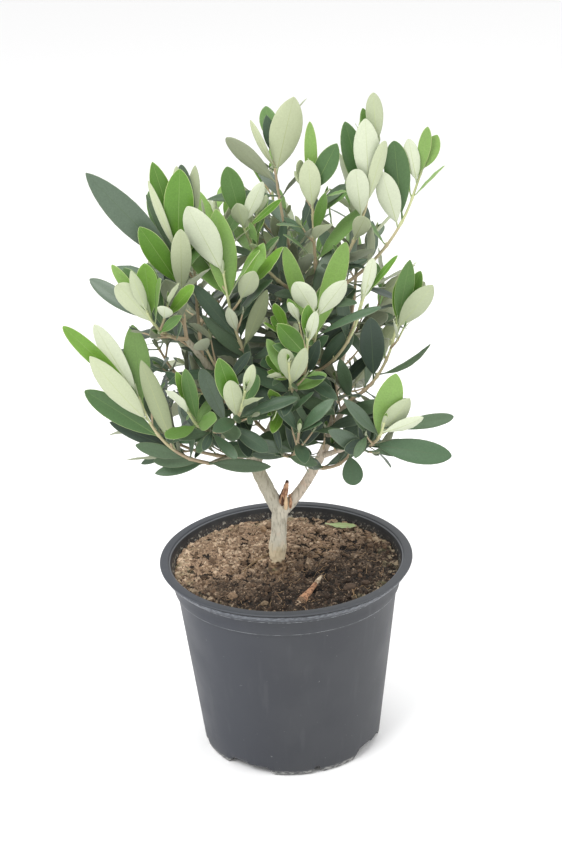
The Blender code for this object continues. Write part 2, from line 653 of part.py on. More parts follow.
def grow_twigs(space, name, stem, turn, count, draw):
    """Side twigs from a mass's stem, where there is room for them."""
    found = []
    for i in range(count * 2):
        share = 0.42 + 0.22 * draw.random() + 0.1 * i
        start, ahead = along(stem.path, share)
        pointing, _ = leaf_frame(ahead, turn + math.pi * i + draw.uniform(-0.4, 0.4), math.radians(48))
        length = TWIG_LENGTH * draw.uniform(0.8, 1.1)
        tip = start + (pointing + UP * 0.25).normalized() * length
        via = start.lerp(tip, 0.5) - UP * 0.06 * length
        twig = tapered(arc(start, via, tip, TWIG_STEPS), 0.95, 0.6)
        tested = twig.grown(CLEARANCE).skin(STEM_SIDES)
        if len(found) == count or space.hidden(twig.path[1:]):
            continue
        if space.free(*tested, skipped=(name + " stem",)):
            space.add(*tested, name + " stem")
            found.append(twig)
    return found


# ---------------------------------------------------------------- mesh builders

def clear_scene():
    for obj in list(bpy.data.objects):
        bpy.data.objects.remove(obj)


def collection(name):
    made = bpy.data.collections.new(name)
    bpy.context.scene.collection.children.link(made)
    return made


def material(name, colour, roughness):
    made = bpy.data.materials.new(name)
    made.use_nodes = True
    shader = made.node_tree.nodes["Principled BSDF"]
    shader.inputs["Base Color"].default_value = (*colour, 1)
    shader.inputs["Roughness"].default_value = roughness
    made.diffuse_color = (*colour, 1)
    return made


def mesh_object(name, points, faces, into):
    mesh = bpy.data.meshes.new(name)
    mesh.from_pydata([tuple(p * MM) for p in points], [], faces)
    shell = bmesh.new()
    shell.from_mesh(mesh)
    bmesh.ops.recalc_face_normals(shell, faces=shell.faces)
    shell.to_mesh(mesh)
    shell.free()
    made = bpy.data.objects.new(name, mesh)
    into.objects.link(made)
    return made


def ring_curve(name, sides, into):
    """A flat ring of this many sides, for a tube's cross-section."""
    curve = bpy.data.curves.new(name, "CURVE")
    line = curve.splines.new("POLY")
    line.points.add(sides - 1)
    for k, point in enumerate(line.points):
        turn = math.tau * k / sides
        point.co = (MM * math.cos(turn), MM * math.sin(turn), 0, 1)
    line.use_cyclic_u = True
    ring = bpy.data.objects.new(name, curve)
    into.objects.link(ring)
    return ring


def tube_object(name, tube, sides, into):
    """A tube as a bevelled curve, made a mesh with its caps welded on."""
    ring = ring_curve(name + "_ring", sides, into)
    curve = bpy.data.curves.new(name + "_line", "CURVE")
    curve.dimensions = "3D"
    curve.bevel_mode = "OBJECT"
    curve.bevel_object = ring
    curve.use_fill_caps = True
    line = curve.splines.new("POLY")
    line.points.add(len(tube.path) - 1)
    for point, place, radius in zip(line.points, tube.path, tube.radii):
        point.co = (*(place * MM), 1)
        point.radius = radius
    drawn = bpy.data.objects.new(name + "_line", curve)
    into.objects.link(drawn)
    bpy.context.view_layer.update()
    mesh = bpy.data.meshes.new_from_object(drawn.evaluated_get(bpy.context.evaluated_depsgraph_get()))
    mesh.name = name
    shell = bmesh.new()
    shell.from_mesh(mesh)
    bmesh.ops.remove_doubles(shell, verts=shell.verts, dist=0.00002)
    bmesh.ops.recalc_face_normals(shell, faces=shell.faces)
    shell.to_mesh(mesh)
    shell.free()
    made = bpy.data.objects.new(name, mesh)
    made.matrix_world = drawn.matrix_world
    into.objects.link(made)
    bpy.data.objects.remove(drawn)
    bpy.data.objects.remove(ring)
    return made


def apply_boolean(obj, operation, others):
    """Joins or cuts obj with a collection, applies that, and removes the collection's objects."""
    if not others.objects:
        return
    step = obj.modifiers.new(operation.title(), "BOOLEAN")
    step.operation = operation
    step.operand_type = "COLLECTION"
    step.collection = others
    step.solver = "EXACT"
    bpy.context.view_layer.update()
    made = bpy.data.meshes.new_from_object(obj.evaluated_get(bpy.context.evaluated_depsgraph_get()))
    obj.modifiers.clear()
    old, obj.data = obj.data, made
    made.name = obj.name
    bpy.data.meshes.remove(old)
    for other in list(others.objects):
        bpy.data.objects.remove(other)


def keep_largest(obj):
    """Drops the scraps that a cut leaves loose."""
    shell = bmesh.new()
    shell.from_mesh(obj.data)
    left, islands = set(shell.verts), []
    while left:
        island, edge = set(), [left.pop()]
        while edge:
            vert = edge.pop()
            island.add(vert)
            for link in vert.link_edges:
                other = link.other_vert(vert)
                if other in left:
                    left.discard(other)
                    edge.append(other)
        islands.append(island)
    islands.sort(key=len, reverse=True)
    for island in islands[1:]:
        bmesh.ops.delete(shell, geom=list(island), context="VERTS")
    shell.to_mesh(obj.data)
    shell.free()
    return len(islands) - 1


def turned_object(name, profile, steps, into):
    """A solid turned about Z, from a profile of (radius, height) that runs up inside and down outside."""
    mesh = bpy.data.meshes.new(name)
    points = [(r * MM, 0, z * MM) for r, z in profile]
    mesh.from_pydata(points, [(i, i + 1) for i in range(len(points) - 1)], [])
    made = bpy.data.objects.new(name, mesh)
    into.objects.link(made)
    screw = made.modifiers.new("Turn", "SCREW")
    screw.steps = screw.render_steps = steps
    screw.use_merge_vertices = True
    screw.merge_threshold = 0.00002
    screw.use_smooth_shade = True
    return made


def applied(obj):
    """obj with its modifiers made part of its mesh."""
    bpy.context.view_layer.update()
    made = bpy.data.meshes.new_from_object(obj.evaluated_get(bpy.context.evaluated_depsgraph_get()))
    obj.modifiers.clear()
    obj.data = made
    return obj


# ---------------------------------------------------------------- the pot and what is in it

def wall_radius(height):
    """The outside of the pot's wall at this height, under the shoulder."""
    return BASE_RADIUS + (WALL_TOP_RADIUS - BASE_RADIUS) * height / SHOULDER_HEIGHT


def pot_profile():
    shoulder = WALL_TOP_RADIUS + SHOULDER_STEP
    lip_inner = RIM_RADIUS - LIP_WIDTH
    lip_foot = POT_HEIGHT - LIP_HEIGHT
    inside = [
        (0, FLOOR_TOP),
        (wall_radius(FLOOR_TOP) - WALL, FLOOR_TOP),
        (wall_radius(SHOULDER_HEIGHT) - WALL, SHOULDER_HEIGHT - 1),
        (shoulder - WALL, SHOULDER_HEIGHT + 1),
        (shoulder - WALL + 0.4, lip_foot),
        (lip_inner - 1.2, POT_HEIGHT - 2),
        (lip_inner, POT_HEIGHT),
    ]
    outside = [
        (RIM_RADIUS - 1.6, POT_HEIGHT),
        (RIM_RADIUS, POT_HEIGHT - 1.2),
        (RIM_RADIUS - 3.0, POT_HEIGHT - 6.5),
        (shoulder + 1.5, lip_foot),
        (shoulder, lip_foot - 2.5),
        (shoulder, SHOULDER_HEIGHT),
        (WALL_TOP_RADIUS, SHOULDER_HEIGHT - 0.8),
        (wall_radius(1.2), 1.2),
        (BASE_RADIUS - 1.2, 0),
    ]
    underside = [
        (FOOT_RING_INNER, 0),
        (FOOT_RING_INNER - 2, FOOT_HEIGHT),
        (BOSS_RADIUS + 2, FOOT_HEIGHT),
        (BOSS_RADIUS, 0),
        (0, 0),
    ]
    return inside + outside + underside


def wedge(name, middle_deg, span_deg, into):
    """A cutter that takes this much of the foot ring away, up to the feet's height."""
    inner, outer = FOOT_RING_INNER - 4, BASE_RADIUS + 6
    points = []
    for height in (-2.0, FOOT_HEIGHT):
        for radius, sign in ((inner, -1), (outer, -1), (outer, 1), (inner, 1)):
            turn = math.radians(middle_deg + sign * span_deg / 2 - 90)
            points.append(Vector((radius * math.cos(turn), radius * math.sin(turn), height)))
    faces = [(3, 2, 1, 0), (4, 5, 6, 7)]
    faces += [(k, (k + 1) % 4, (k + 1) % 4 + 4, k + 4) for k in range(4)]
    as_cutter(mesh_object(name, points, faces, into))


def build_pot(into, cutters, paint):
    pot = turned_object("pot", pot_profile(), POT_STEPS, into)
    step = 360 / FOOT_PAIRS
    for i in range(FOOT_PAIRS):
        middle = FOOT_PAIR_MIDDLE_DEG + i * step
        wedge(f"notch_{i}", middle, NOTCH_DEG, cutters)
        wedge(f"arch_{i}", middle + step / 2, step - FOOT_PAIR_SPAN_DEG, cutters)
    apply_boolean(applied(pot), "DIFFERENCE", cutters)
    pot.data.materials.append(paint)
    pot.data.shade_smooth()
    pot.data.set_sharp_from_angle(angle=math.radians(30))
    return pot


def soil_height(x, y):
    """The soil's surface: nearly level, with a hollow round the trunk, low lumps and a few heaps."""
    near = math.exp(-(((x - TRUNK_FOOT.x) ** 2 + (y - TRUNK_FOOT.y) ** 2) / SOIL_HOLLOW_RADIUS**2))
    heaps = [(lift, math.exp(-((x - a) ** 2 + (y - b) ** 2) / wide**2)) for a, b, lift, wide in SOIL_HEAPS]
    heaped = max(share for _, share in heaps)
    lumps = 0.8 * math.sin(0.11 * x + 1.3) * math.cos(0.13 * y) + 0.5 * math.sin(0.23 * x - 0.19 * y + 0.6)
    flat = SOIL_LEVEL - SOIL_HOLLOW * near + lumps * (1 - near) * (1 - heaped)
    return flat + sum(lift * share for lift, share in heaps)


def as_cutter(obj):
    obj.hide_render = True
    obj.display_type = "WIRE"


def build_soil(into, cutters, paint, foot):
    """The potting soil: it fills the pot, with seats for the trunk and the wood chip."""
    gap = SOIL_CLEARANCE
    shoulder = WALL_TOP_RADIUS + SHOULDER_STEP
    edge = shoulder - WALL - gap
    profile = [(edge * i / SOIL_RINGS, SOIL_LEVEL) for i in range(SOIL_RINGS + 1)]
    profile += [
        (shoulder - WALL - gap, SHOULDER_HEIGHT + 1.2),
        (wall_radius(SHOULDER_HEIGHT) - WALL - gap, SHOULDER_HEIGHT - 0.8),
        (wall_radius(FLOOR_TOP) - WALL - gap, FLOOR_TOP + gap),
        (0, FLOOR_TOP + gap),
    ]
    soil = applied(turned_object("soil", profile, POT_STEPS, into))
    for vert in soil.data.vertices:
        if vert.co.z > (SOIL_LEVEL - 1) * MM:
            vert.co.z = soil_height(vert.co.x / MM, vert.co.y / MM) * MM
    as_cutter(tube_object("trunk_seat", foot.grown(CLEARANCE), LIMB_SIDES, cutters))
    as_cutter(tube_object("chip_seat", WOOD_CHIP.grown(CLEARANCE), CHIP_SIDES, cutters))
    apply_boolean(soil, "DIFFERENCE", cutters)
    keep_largest(soil)
    soil.data.materials.append(paint)
    return soil


def build_wood(wood, into, cutters, paint):
    """The trunk and its limbs, each cut clear of those before it."""
    for index, (name, tube) in enumerate(wood.items()):
        limb = tube_object(name, tube, LIMB_SIDES, into)
        for other in list(wood)[:index]:
            if touching(tube, wood[other]):
                clear = wood[other].grown(CLEARANCE)
                as_cutter(tube_object("clear_" + other, clear, LIMB_SIDES, cutters))
        apply_boolean(limb, "DIFFERENCE", cutters)
        keep_largest(limb)
        limb.data.materials.append(paint)


def touching(first, second):
    """True if two tubes' boxes come within a few millimetres."""
    margin = max(first.radii) + max(second.radii) + 1
    for axis in range(3):
        a = [p[axis] for p in first.path]
        b = [p[axis] for p in second.path]
        if min(a) - margin > max(b) or min(b) - margin > max(a):
            return False
    return True


def build_mass(name, stems, leaves, wood, others, into, cutters, joins, paint):
    """One leafy mass: its stem, with twigs and leaves fused on, cut clear of the wood that carries it."""
    mass = tube_object(name, stems[0], STEM_SIDES, into)
    for i, twig in enumerate(stems[1:]):
        tube_object(f"{name}_twig_{i}", twig, STEM_SIDES, joins)
    for i, leaf in enumerate(leaves):
        mesh_object(f"{name}_leaf_{i}", *leaf.solid(), joins)
    apply_boolean(mass, "UNION", joins)
    for limb, tube in wood.items():
        if touching(stems[0], tube):
            as_cutter(tube_object("clear_" + limb, tube.grown(CLEARANCE), LIMB_SIDES, cutters))
    for i, stem in enumerate(others):
        if touching(stems[0], stem):
            as_cutter(tube_object(f"clear_stem_{i}", stem.grown(CLEARANCE), STEM_SIDES, cutters))
    apply_boolean(mass, "DIFFERENCE", cutters)
    scraps = keep_largest(mass)
    mass.data.materials.append(paint)
    return scraps


def main():
    clear_scene()
    tree = collection("olive_tree")
    cutters = collection("cutters")
    joins = collection("joins")
    for helper in (cutters, joins):
        helper.hide_render = True
    bark = material("bark", BARK, 0.85)
    wood = grow_wood()
    build_pot(tree, cutters, material("pot_plastic", POT_GREY, 0.5))
    foot = wood["trunk"]
    build_soil(tree, cutters, material("soil", EARTH, 0.95), Tube(foot.path[:3], foot.radii[:3]))
    build_wood(wood, tree, cutters, bark)
    chip = tube_object("wood_chip", WOOD_CHIP, CHIP_SIDES, tree)
    chip.data.materials.append(material("chip_wood", WOOD, 0.8))
    fallen = mesh_object("fallen_leaf", *FALLEN_LEAF.solid(), tree)
    fallen.data.materials.append(material("dry_leaf", DRY_LEAF, 0.6))
    old, young = material("old_leaves", OLD_LEAF, 0.5), material("young_leaves", YOUNG_LEAF, 0.5)
    earlier = []
    total = 0
    for name, (stems, leaves) in grow_foliage(wood).items():
        paint = old if MASSES[name][5][1] < 0.5 else young
        scraps = build_mass(name, stems, leaves, wood, earlier, tree, cutters, joins, paint)
        earlier += stems
        total += len(leaves)
        print(name, len(leaves), "leaves", scraps, "scraps")
    print("leaves in all:", total)


main()
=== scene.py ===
"""The looks of the potted olive tree: pot, soil, bark, twigs and every leaf in its own outline.

The crown grows here by the source's rule, with the same sizes and the same seeds, so each leaf is
where the solids have it, and the rule is then carried on to finer shoots inside the crown. The rule
works in millimetres. The pieces are in metres, in the frame's own place: X to the right, Y to the
back and Z up, from the middle of the pot's underside.
"""

import math
import random

import bmesh
import bpy
import numpy as np
from mathutils import Matrix, Vector, noise
from mathutils.bvhtree import BVHTree


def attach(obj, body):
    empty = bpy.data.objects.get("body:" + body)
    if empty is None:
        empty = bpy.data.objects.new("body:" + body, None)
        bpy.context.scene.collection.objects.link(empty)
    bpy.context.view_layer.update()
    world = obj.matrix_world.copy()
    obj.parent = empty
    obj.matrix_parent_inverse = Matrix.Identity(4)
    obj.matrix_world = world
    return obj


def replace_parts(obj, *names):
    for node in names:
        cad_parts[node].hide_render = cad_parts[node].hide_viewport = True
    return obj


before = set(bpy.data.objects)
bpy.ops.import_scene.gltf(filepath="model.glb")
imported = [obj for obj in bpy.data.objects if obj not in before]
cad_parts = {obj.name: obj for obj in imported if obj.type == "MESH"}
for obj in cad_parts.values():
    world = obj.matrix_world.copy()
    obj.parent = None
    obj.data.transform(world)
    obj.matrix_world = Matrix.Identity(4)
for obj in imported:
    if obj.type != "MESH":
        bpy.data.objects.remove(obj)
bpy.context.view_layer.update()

MM = 0.001
UP = Vector((0, 0, 1))

# ---------------------------------------------------------------- sizes, as in the source

POT_HEIGHT = 151.2
RIM_RADIUS = 95.0
BASE_RADIUS = 68.0
WALL_TOP_RADIUS = 83.3  # outside of the wall, just under the shoulder
SHOULDER_HEIGHT = 129.5
SHOULDER_STEP = 2.0
WALL = 1.5
FLOOR_TOP = 9.0
FOOT_HEIGHT = 6.0
FOOT_RING_INNER = 62.0
BOSS_RADIUS = 16.0

FOOT_PAIRS = 4
FOOT_PAIR_MIDDLE_DEG = 15.0  # from the front, turning to the right
FOOT_PAIR_SPAN_DEG = 64.0
NOTCH_DEG = 5.0

SOIL_LEVEL = 141.0
SOIL_HOLLOW = 2.5  # how far the soil dips round the trunk's foot
SOIL_HOLLOW_RADIUS = 24.0
# Low heaps: place, height above the level and radius. The first lies under the fallen leaf.
SOIL_HEAPS = ((45, 61, 2.4, 22.0), (74, 22, 4.2, 15.0), (-73, 26, 2.6, 16.0))

TRUNK_FOOT = Vector((-7.6, -4, 135.5))
TRUNK_MIDDLE = Vector((-5.4, -4, 165.5))
TRUNK_FORK = Vector((-2.6, -3, 196))
# Radius at each share of the trunk's height: root flare, collar, the knob above it, waist, fork.
TRUNK_RADII = (
    (0.0, 7.6), (0.06, 6.4), (0.16, 5.3), (0.25, 5.6), (0.4, 6.9), (0.52, 6.2), (0.65, 5.8), (0.84, 6.1),
    (0.94, 6.9), (1.0, 5.4),
)

CLEARANCE = 0.3
LIMB_SIDES = 8
LIMB_STEPS = 5
STEM_SIDES = 3

# Each bough or limb: parent, where it leaves it, a point on its way, its tip, start and tip radius.
LIMBS = {
    "left_bough": ("trunk", 0.88, (-16, -5.5, 218.5), (-27.5, -12, 254), 6.0, 4.2),
    "right_bough": ("trunk", 0.85, (17, -6, 213.5), (36, -12, 253), 4.6, 3.1),
    "pruned_stub": ("trunk", 0.96, (0.6, -7.2, 205.5), (3.1, -8.5, 215.6), 4.0, 1.2),
    "left_limb": ("left_bough", 0.97, (-37, -30, 293), (-62, -52, 344), 3.2, 2.1),
    "leader": ("left_bough", 0.62, (-5, 4, 257), (12, 0, 288), 3.8, 3.2),
    "upper_leader": ("leader", 0.97, (25, -5, 326), (29, -5, 366), 2.9, 2.1),
    "right_limb": ("right_bough", 0.97, (42, -14, 267), (49, -16, 280), 2.6, 2.2),
    "right_low_limb": ("right_bough", 0.72, (42, -27, 247), (60, -42, 257), 2.1, 1.7),
    "low_left_limb": ("left_bough", 0.74, (-36, -24, 243), (-52, -34, 243), 2.2, 1.7),
    "left_front_limb": ("left_bough", 0.90, (-33, -35, 266), (-41, -53, 279), 2.0, 1.6),
    "low_mid_limb": ("left_bough", 0.80, (-6, -28, 247), (8, -45, 250), 1.9, 1.5),
    "centre_limb": ("leader", 0.55, (-6, -10, 285), (-12, -20, 305), 2.2, 1.7),
    "back_left_limb": ("left_bough", 0.95, (-36, 20, 285), (-50, 46, 320), 3.0, 2.0),
    "back_limb": ("leader", 0.75, (8, 28, 308), (4, 50, 346), 2.6, 1.8),
    "back_right_limb": ("right_bough", 0.92, (42, 18, 278), (54, 46, 318), 2.5, 1.8),
}

# Each leafy mass: limb, where its stem leaves it, the stem's tip, pairs of leaves, the length and
# the age of its leaves at the foot and at the tip (age 0 is old and dark, 1 young and pale), the
# turn of the first pair in degrees, and side twigs.
MASSES = {
    "low_left": ("low_left_limb", 1.0, (-97, -60, 306), 3, (46, 30), (0.1, 0.9), 40, 0),
    "left_mid": ("left_limb", 1.0, (-86, -74, 372), 4, (48, 40), (0.2, 1.0), 10, 1),
    "left_top": ("left_limb", 1.0, (-65, -48, 414), 5, (60, 46), (0.2, 0.8), 60, 1),
    "left_high": ("left_limb", 0.8, (-56, -22, 412), 5, (56, 50), (0.1, 0.7), 30, 1),
    "centre_left": ("centre_limb", 1.0, (-35, -46, 388), 5, (50, 52), (0.1, 1.0), 20, 1),
    "centre_left_low": ("centre_limb", 0.6, (-49, -50, 335), 4, (48, 40), (0.0, 0.4), 70, 1),
    "top_left": ("upper_leader", 0.85, (-21, -20, 414), 5, (44, 30), (0.1, 1.0), 0, 1),
    "top_mid": ("upper_leader", 0.75, (1, 4, 464), 6, (50, 40), (0.0, 0.4), 50, 0),
    "top_upper": ("upper_leader", 1.0, (27, -16, 448), 5, (46, 32), (0.3, 0.9), 15, 1),
    "top_right_a": ("upper_leader", 0.93, (72, -10, 462), 5, (48, 30), (0.3, 1.0), 35, 1),
    "top_right_b": ("upper_leader", 0.86, (103, 0, 441), 6, (46, 26), (0.3, 1.0), 75, 1),
    "centre": ("upper_leader", 0.35, (27, -52, 358), 3, (44, 36), (0.2, 1.0), 0, 1),
    "right_mid": ("upper_leader", 0.1, (60, -44, 368), 5, (44, 30), (0.1, 1.0), 45, 1),
    "right": ("right_limb", 1.0, (84, -20, 338), 5, (48, 34), (0.0, 1.0), 20, 2),
    "centre_front": ("leader", 0.9, (7, -78, 334), 5, (44, 30), (0.0, 1.0), 60, 1),
    "centre_low_front": ("upper_leader", 0.1, (20, -68, 347), 4, (44, 30), (0.1, 1.0), 30, 1),
    "left_front_b": ("left_front_limb", 1.0, (-23, -88, 319), 4, (40, 30), (0.1, 1.0), 80, 1),
    "left_front": ("left_front_limb", 0.8, (-62, -84, 303), 4, (46, 38), (0.1, 1.0), 25, 1),
    "right_low": ("right_low_limb", 1.0, (71, -64, 282), 3, (48, 40), (0.0, 1.0), 55, 1),
    "low_mid": ("low_mid_limb", 0.9, (12, -66, 278), 4, (42, 36), (0.0, 0.3), 85, 0),
    "right_low_old": ("right_bough", 0.6, (49, -30, 246), 3, (36, 34), (0.0, 0.1), 10, 0),
    "left_old": ("left_limb", 0.35, (-84, -14, 324), 4, (50, 44), (0.0, 0.2), 35, 0),
    "left_low_old": ("low_left_limb", 0.55, (-84, -20, 262), 4, (54, 46), (0.0, 0.1), 60, 0),
    "heart_old": ("leader", 0.35, (-34, 24, 292), 4, (50, 44), (0.0, 0.1), 0, 0),
    "heart_right_old": ("upper_leader", 0.2, (58, 16, 322), 4, (50, 44), (0.0, 0.2), 40, 0),
    "back_left": ("back_left_limb", 1.0, (-82, 78, 338), 5, (50, 38), (0.2, 0.9), 15, 1),
    "back_left_high": ("back_left_limb", 0.85, (-42, 58, 402), 5, (54, 42), (0.2, 0.9), 50, 1),
    "back_high": ("back_limb", 1.0, (0, 60, 428), 5, (52, 40), (0.2, 1.0), 30, 1),
    "back_mid": ("back_limb", 0.75, (16, 98, 366), 5, (50, 38), (0.2, 1.0), 70, 1),
    "back_right_high": ("back_right_limb", 1.0, (62, 56, 404), 5, (52, 40), (0.2, 0.9), 5, 1),
    "back_right": ("back_right_limb", 0.8, (82, 76, 326), 5, (48, 36), (0.2, 0.9), 45, 1),
    "back_low_left": ("back_left_limb", 0.35, (-62, 72, 284), 4, (54, 46), (0.0, 0.4), 20, 0),
    "back_low_right": ("back_right_limb", 0.3, (70, 70, 278), 4, (54, 46), (0.0, 0.4), 65, 0),
    "back_low": ("leader", 0.5, (0, 84, 290), 5, (54, 44), (0.0, 0.5), 25, 0),
}

# The leaves that shape the outline and stand out at the front. Each: share of its mass's stem, tip,
# width, age, which side looks to the front (1 the upper side, -1 the pale underside, 0 its edge),
# and its curl if it has one of its own.
OUTER_LEAVES = {
    "low_left": (
        (1.00, (-144, -64, 361), 12, 0.8, 1), (0.97, (-124, -54, 358), 15, 1.0, -1),
        (0.75, (-127, -65, 341), 18, 1.0, -1), (0.90, (-99, -46, 354), 18, 0.6, 1),
        (0.53, (-134, -56, 311), 16.5, 0.7, 1), (0.38, (-93, -60, 335), 14, 0.6, -1),
        (0.33, (-120, -44, 282), 10, 0.1, 0.8), (0.04, (-91, -40, 239.5), 9, 0.0, 0.8),
        (0.09, (-91, -46, 252), 9, 0.0, 1), (0.14, (-110, -46, 253.5), 5, 0.1, -0.6),
        (0.22, (-102, -50, 268.6), 10, 0.0, 1), (0.02, (-8, -56, 248.5), 10, 0.05, 1),
    ),
    "left_mid": (
        (0.75, (-104, -80, 394), 18, 1.0, -1), (0.85, (-86, -68, 404), 15, 0.9, 1),
        (0.80, (-125, -50, 389), 12, 0.0, 1), (0.88, (-108, -70, 403), 8, 0.8, 1),
        (0.97, (-94, -78, 404), 9, 0.9, -1),
    ),
    "left_top": (
        (0.72, (-121, -59, 464), 20, 0.15, 1), (0.52, (-88, -60, 428), 16, 0.7, 1),
        (1.00, (-78, -48, 467), 14, 0.6, 1), (0.85, (-60, -54, 463), 20, 0.8, 1),
        (0.42, (-61, -64, 425), 14, 0.5, -1), (0.85, (-81, -52, 457), 6, 0.9, -1),
        (1.00, (-62, -50, 464), 7, 0.9, -1), (0.70, (-84, -40, 443), 5, 0.0, 1),
    ),
    "centre_left": (
        (1.00, (-56, -58, 440), 21, 1.0, -1), (0.72, (-38, -46, 433), 20, 0.75, 1),
        (0.50, (-33, -50, 365), 8, 0.9, -1), (0.42, (-56, -40, 379), 11, 0.0, 1),
        (0.20, (-51, -42, 357), 10, 0.0, 1), (0.33, (-6, -45, 375), 11, 0.5, -1),
    ),
    "top_left": (
        (1.00, (-30, -16, 454), 16, 0.6, 1), (1.00, (-6, -26, 445), 11, 0.9, -1),
        (0.97, (-24, -30, 432), 12, 1.0, -1), (0.95, (6, -28, 433), 5, 0.9, 1),
    ),
    "top_mid": (
        (0.82, (17, -8, 498), 22, 0.5, -1), (0.77, (-30, -4, 471), 13, 0.0, -1),
        (0.86, (-13, -6, 483), 5.5, 0.6, -1, 0.9), (0.93, (-2, 3, 484), 9, 0.0, 1),
        (0.70, (-45, -10, 430), 9, 0.0, 0.6),
    ),
    "top_upper": (
        (0.82, (45, -16, 467), 15, 0.55, 1), (0.68, (25, -22, 458), 15, 1.0, -1),
        (0.75, (27, -18, 482), 9, 0.7, 1), (0.45, (36, -22, 435), 8, 0.7, 1),
    ),
    "top_right_a": (
        (0.72, (64, -20, 484), 18, 0.9, -1), (0.65, (51, -4, 479), 16, 0.5, 1),
        (1.00, (70, -14, 500), 12, 1.0, -1, 0.25), (0.90, (63, -10, 489), 8, 0.6, 1),
        (0.55, (57, -21, 450), 16, 1.0, -1), (0.62, (77, -12, 469), 10, 0.95, -0.7),
    ),
    "top_right_b": (
        (0.65, (75, -14, 446), 16, 1.0, -1), (0.70, (84, -6, 465), 18, 0.6, 1),
        (0.93, (94, -6, 466), 11, 1.0, -1), (1.00, (114, -2, 467), 12, 0.8, 1),
        (0.97, (104, -4, 472), 9, 0.8, 1),
    ),
    "centre": (
        (1.00, (13, -62, 385), 16, 1.0, -1), (0.97, (47, -62, 385), 14, 1.0, -1),
        (0.60, (7, -32, 401), 12, 0.85, 1), (0.62, (49, -30, 402), 15, 0.8, 1),
        (0.66, (71, -50, 361), 7, 0.0, 0.5, -0.5),
    ),
    "centre_low_front": (
        (0.95, (21, -74, 373), 9, 0.9, 1), (0.93, (26, -77, 369), 8, 1.0, -1),
        (0.80, (0, -70, 359), 14, 0.9, 1), (0.35, (28, -60, 343), 10, 0.0, 1),
    ),
    "centre_front": (
        (0.75, (4, -84, 346), 12, 1.0, -1), (0.70, (18, -84, 348), 10, 1.0, -1),
    ),
    "left_front_b": (
        (0.50, (-33, -84, 325), 13, 1.0, -1), (0.90, (-17, -90, 338), 8, 1.0, -1),
        (0.55, (-40, -80, 340), 15, 0.9, 1), (0.48, (12, -78, 308), 10, 0.0, 0.5),
        (0.15, (-53, -62, 326), 12, 0.0, 1),
    ),
    "left_front": (
        (0.70, (-68, -92, 336), 8, 0.8, 1), (0.72, (-62, -88, 338), 10, 0.7, 1),
    ),
    "right_mid": (
        (1.00, (83, -46, 396), 6, 0.8, 0.4), (0.97, (66, -50, 396), 9, 1.0, -1),
        (0.20, (52, -30, 338), 14, 0.0, 1),
    ),
    "right": (
        (0.02, (43, -26, 316), 10, 0.0, 1), (0.42, (106, -34, 327), 11, 0.0, 0.25, 0.8),
        (1.00, (93, -24, 386), 13, 0.6, 1), (0.95, (108, -30, 369), 17, 1.0, -1),
        (0.35, (65, -24, 345), 18, 0.0, 1), (0.88, (101, -16, 375), 12, 0.8, 1),
    ),
    "right_low": (
        (0.15, (118, -62, 254), 17.5, 0.05, 1), (0.85, (121, -46, 277), 10, 0.1, 1),
        (0.45, (80, -59, 316), 19, 0.75, 1), (0.57, (92, -66, 301), 15, 1.0, -1),
        (0.75, (98, -62, 286), 10, 0.95, -1),
    ),
    "left_high": (
        (1.00, (-51, -25, 458), 9, 0.7, -1), (0.88, (-60, -20, 460), 12, 0.3, 1),
    ),
    "right_low_old": ((0.95, (51, -38, 223.5), 15, 0.1, 1, 0.15),),
}

# The openings that the sky shows through, for the eye that looks at the tree's front from here: the
# middle of each, across and up on the plane through the trunk, and its radius.
EYE = Vector((0, -1160, 736))
SHOWN_SHARES = (0.3, 0.45, 0.6, 0.75, 0.9)
OPENINGS = (
    (-135, 352, 13), (-96, 444, 12), (-41, 457, 11), (88, 475, 10), (-109, 394, 10), (-115, 343, 10),
    (98, 289, 11), (39, 477, 10), (86, 395, 10), (95, 318, 9), (104, 326, 9), (65, 222, 9),
    (-44, 444, 8), (-139, 299, 8), (103, 272, 7), (-116, 243, 7), (-2, 222, 8), (118, 245, 9),
    (36, 466, 6), (-72, 453, 6), (87, 310, 6), (-9, 465, 6), (13, 451, 5), (-21, 446, 5),
    (79, 385, 5), (57, 480, 5), (9, 440, 5), (-94, 430, 5), (101, 246, 5), (-15, 256, 5),
    (65, 346, 5), (78, 300, 5), (59, 369, 4), (112, 394, 14), (122, 420, 12), (42, 215, 9),
    (-40, 213, 9), (26, 236, 5), (128, 262, 7), (140, 320, 12), (-32, 452, 6), (-143, 330, 10),
    (-19, 487, 9), (-67, 215, 7),
    (103, 420, 5), (96, 414, 5), (-94, 388, 5), (-86, 318, 4.5), (44, 438, 4), (14, 427, 4),
    (-17, 438, 4), (-111, 326, 4), (49, 311, 4), (72, 291, 4), (57, 343, 4), (-76, 316, 4),
    (64, 280, 4), (16, 415, 4), (47, 404, 4), (39, 302, 4), (-50, 234, 4), (71, 412, 3.5),
    (-52, 390, 3.5), (77, 325, 3.5), (-96, 338, 3.5),
)

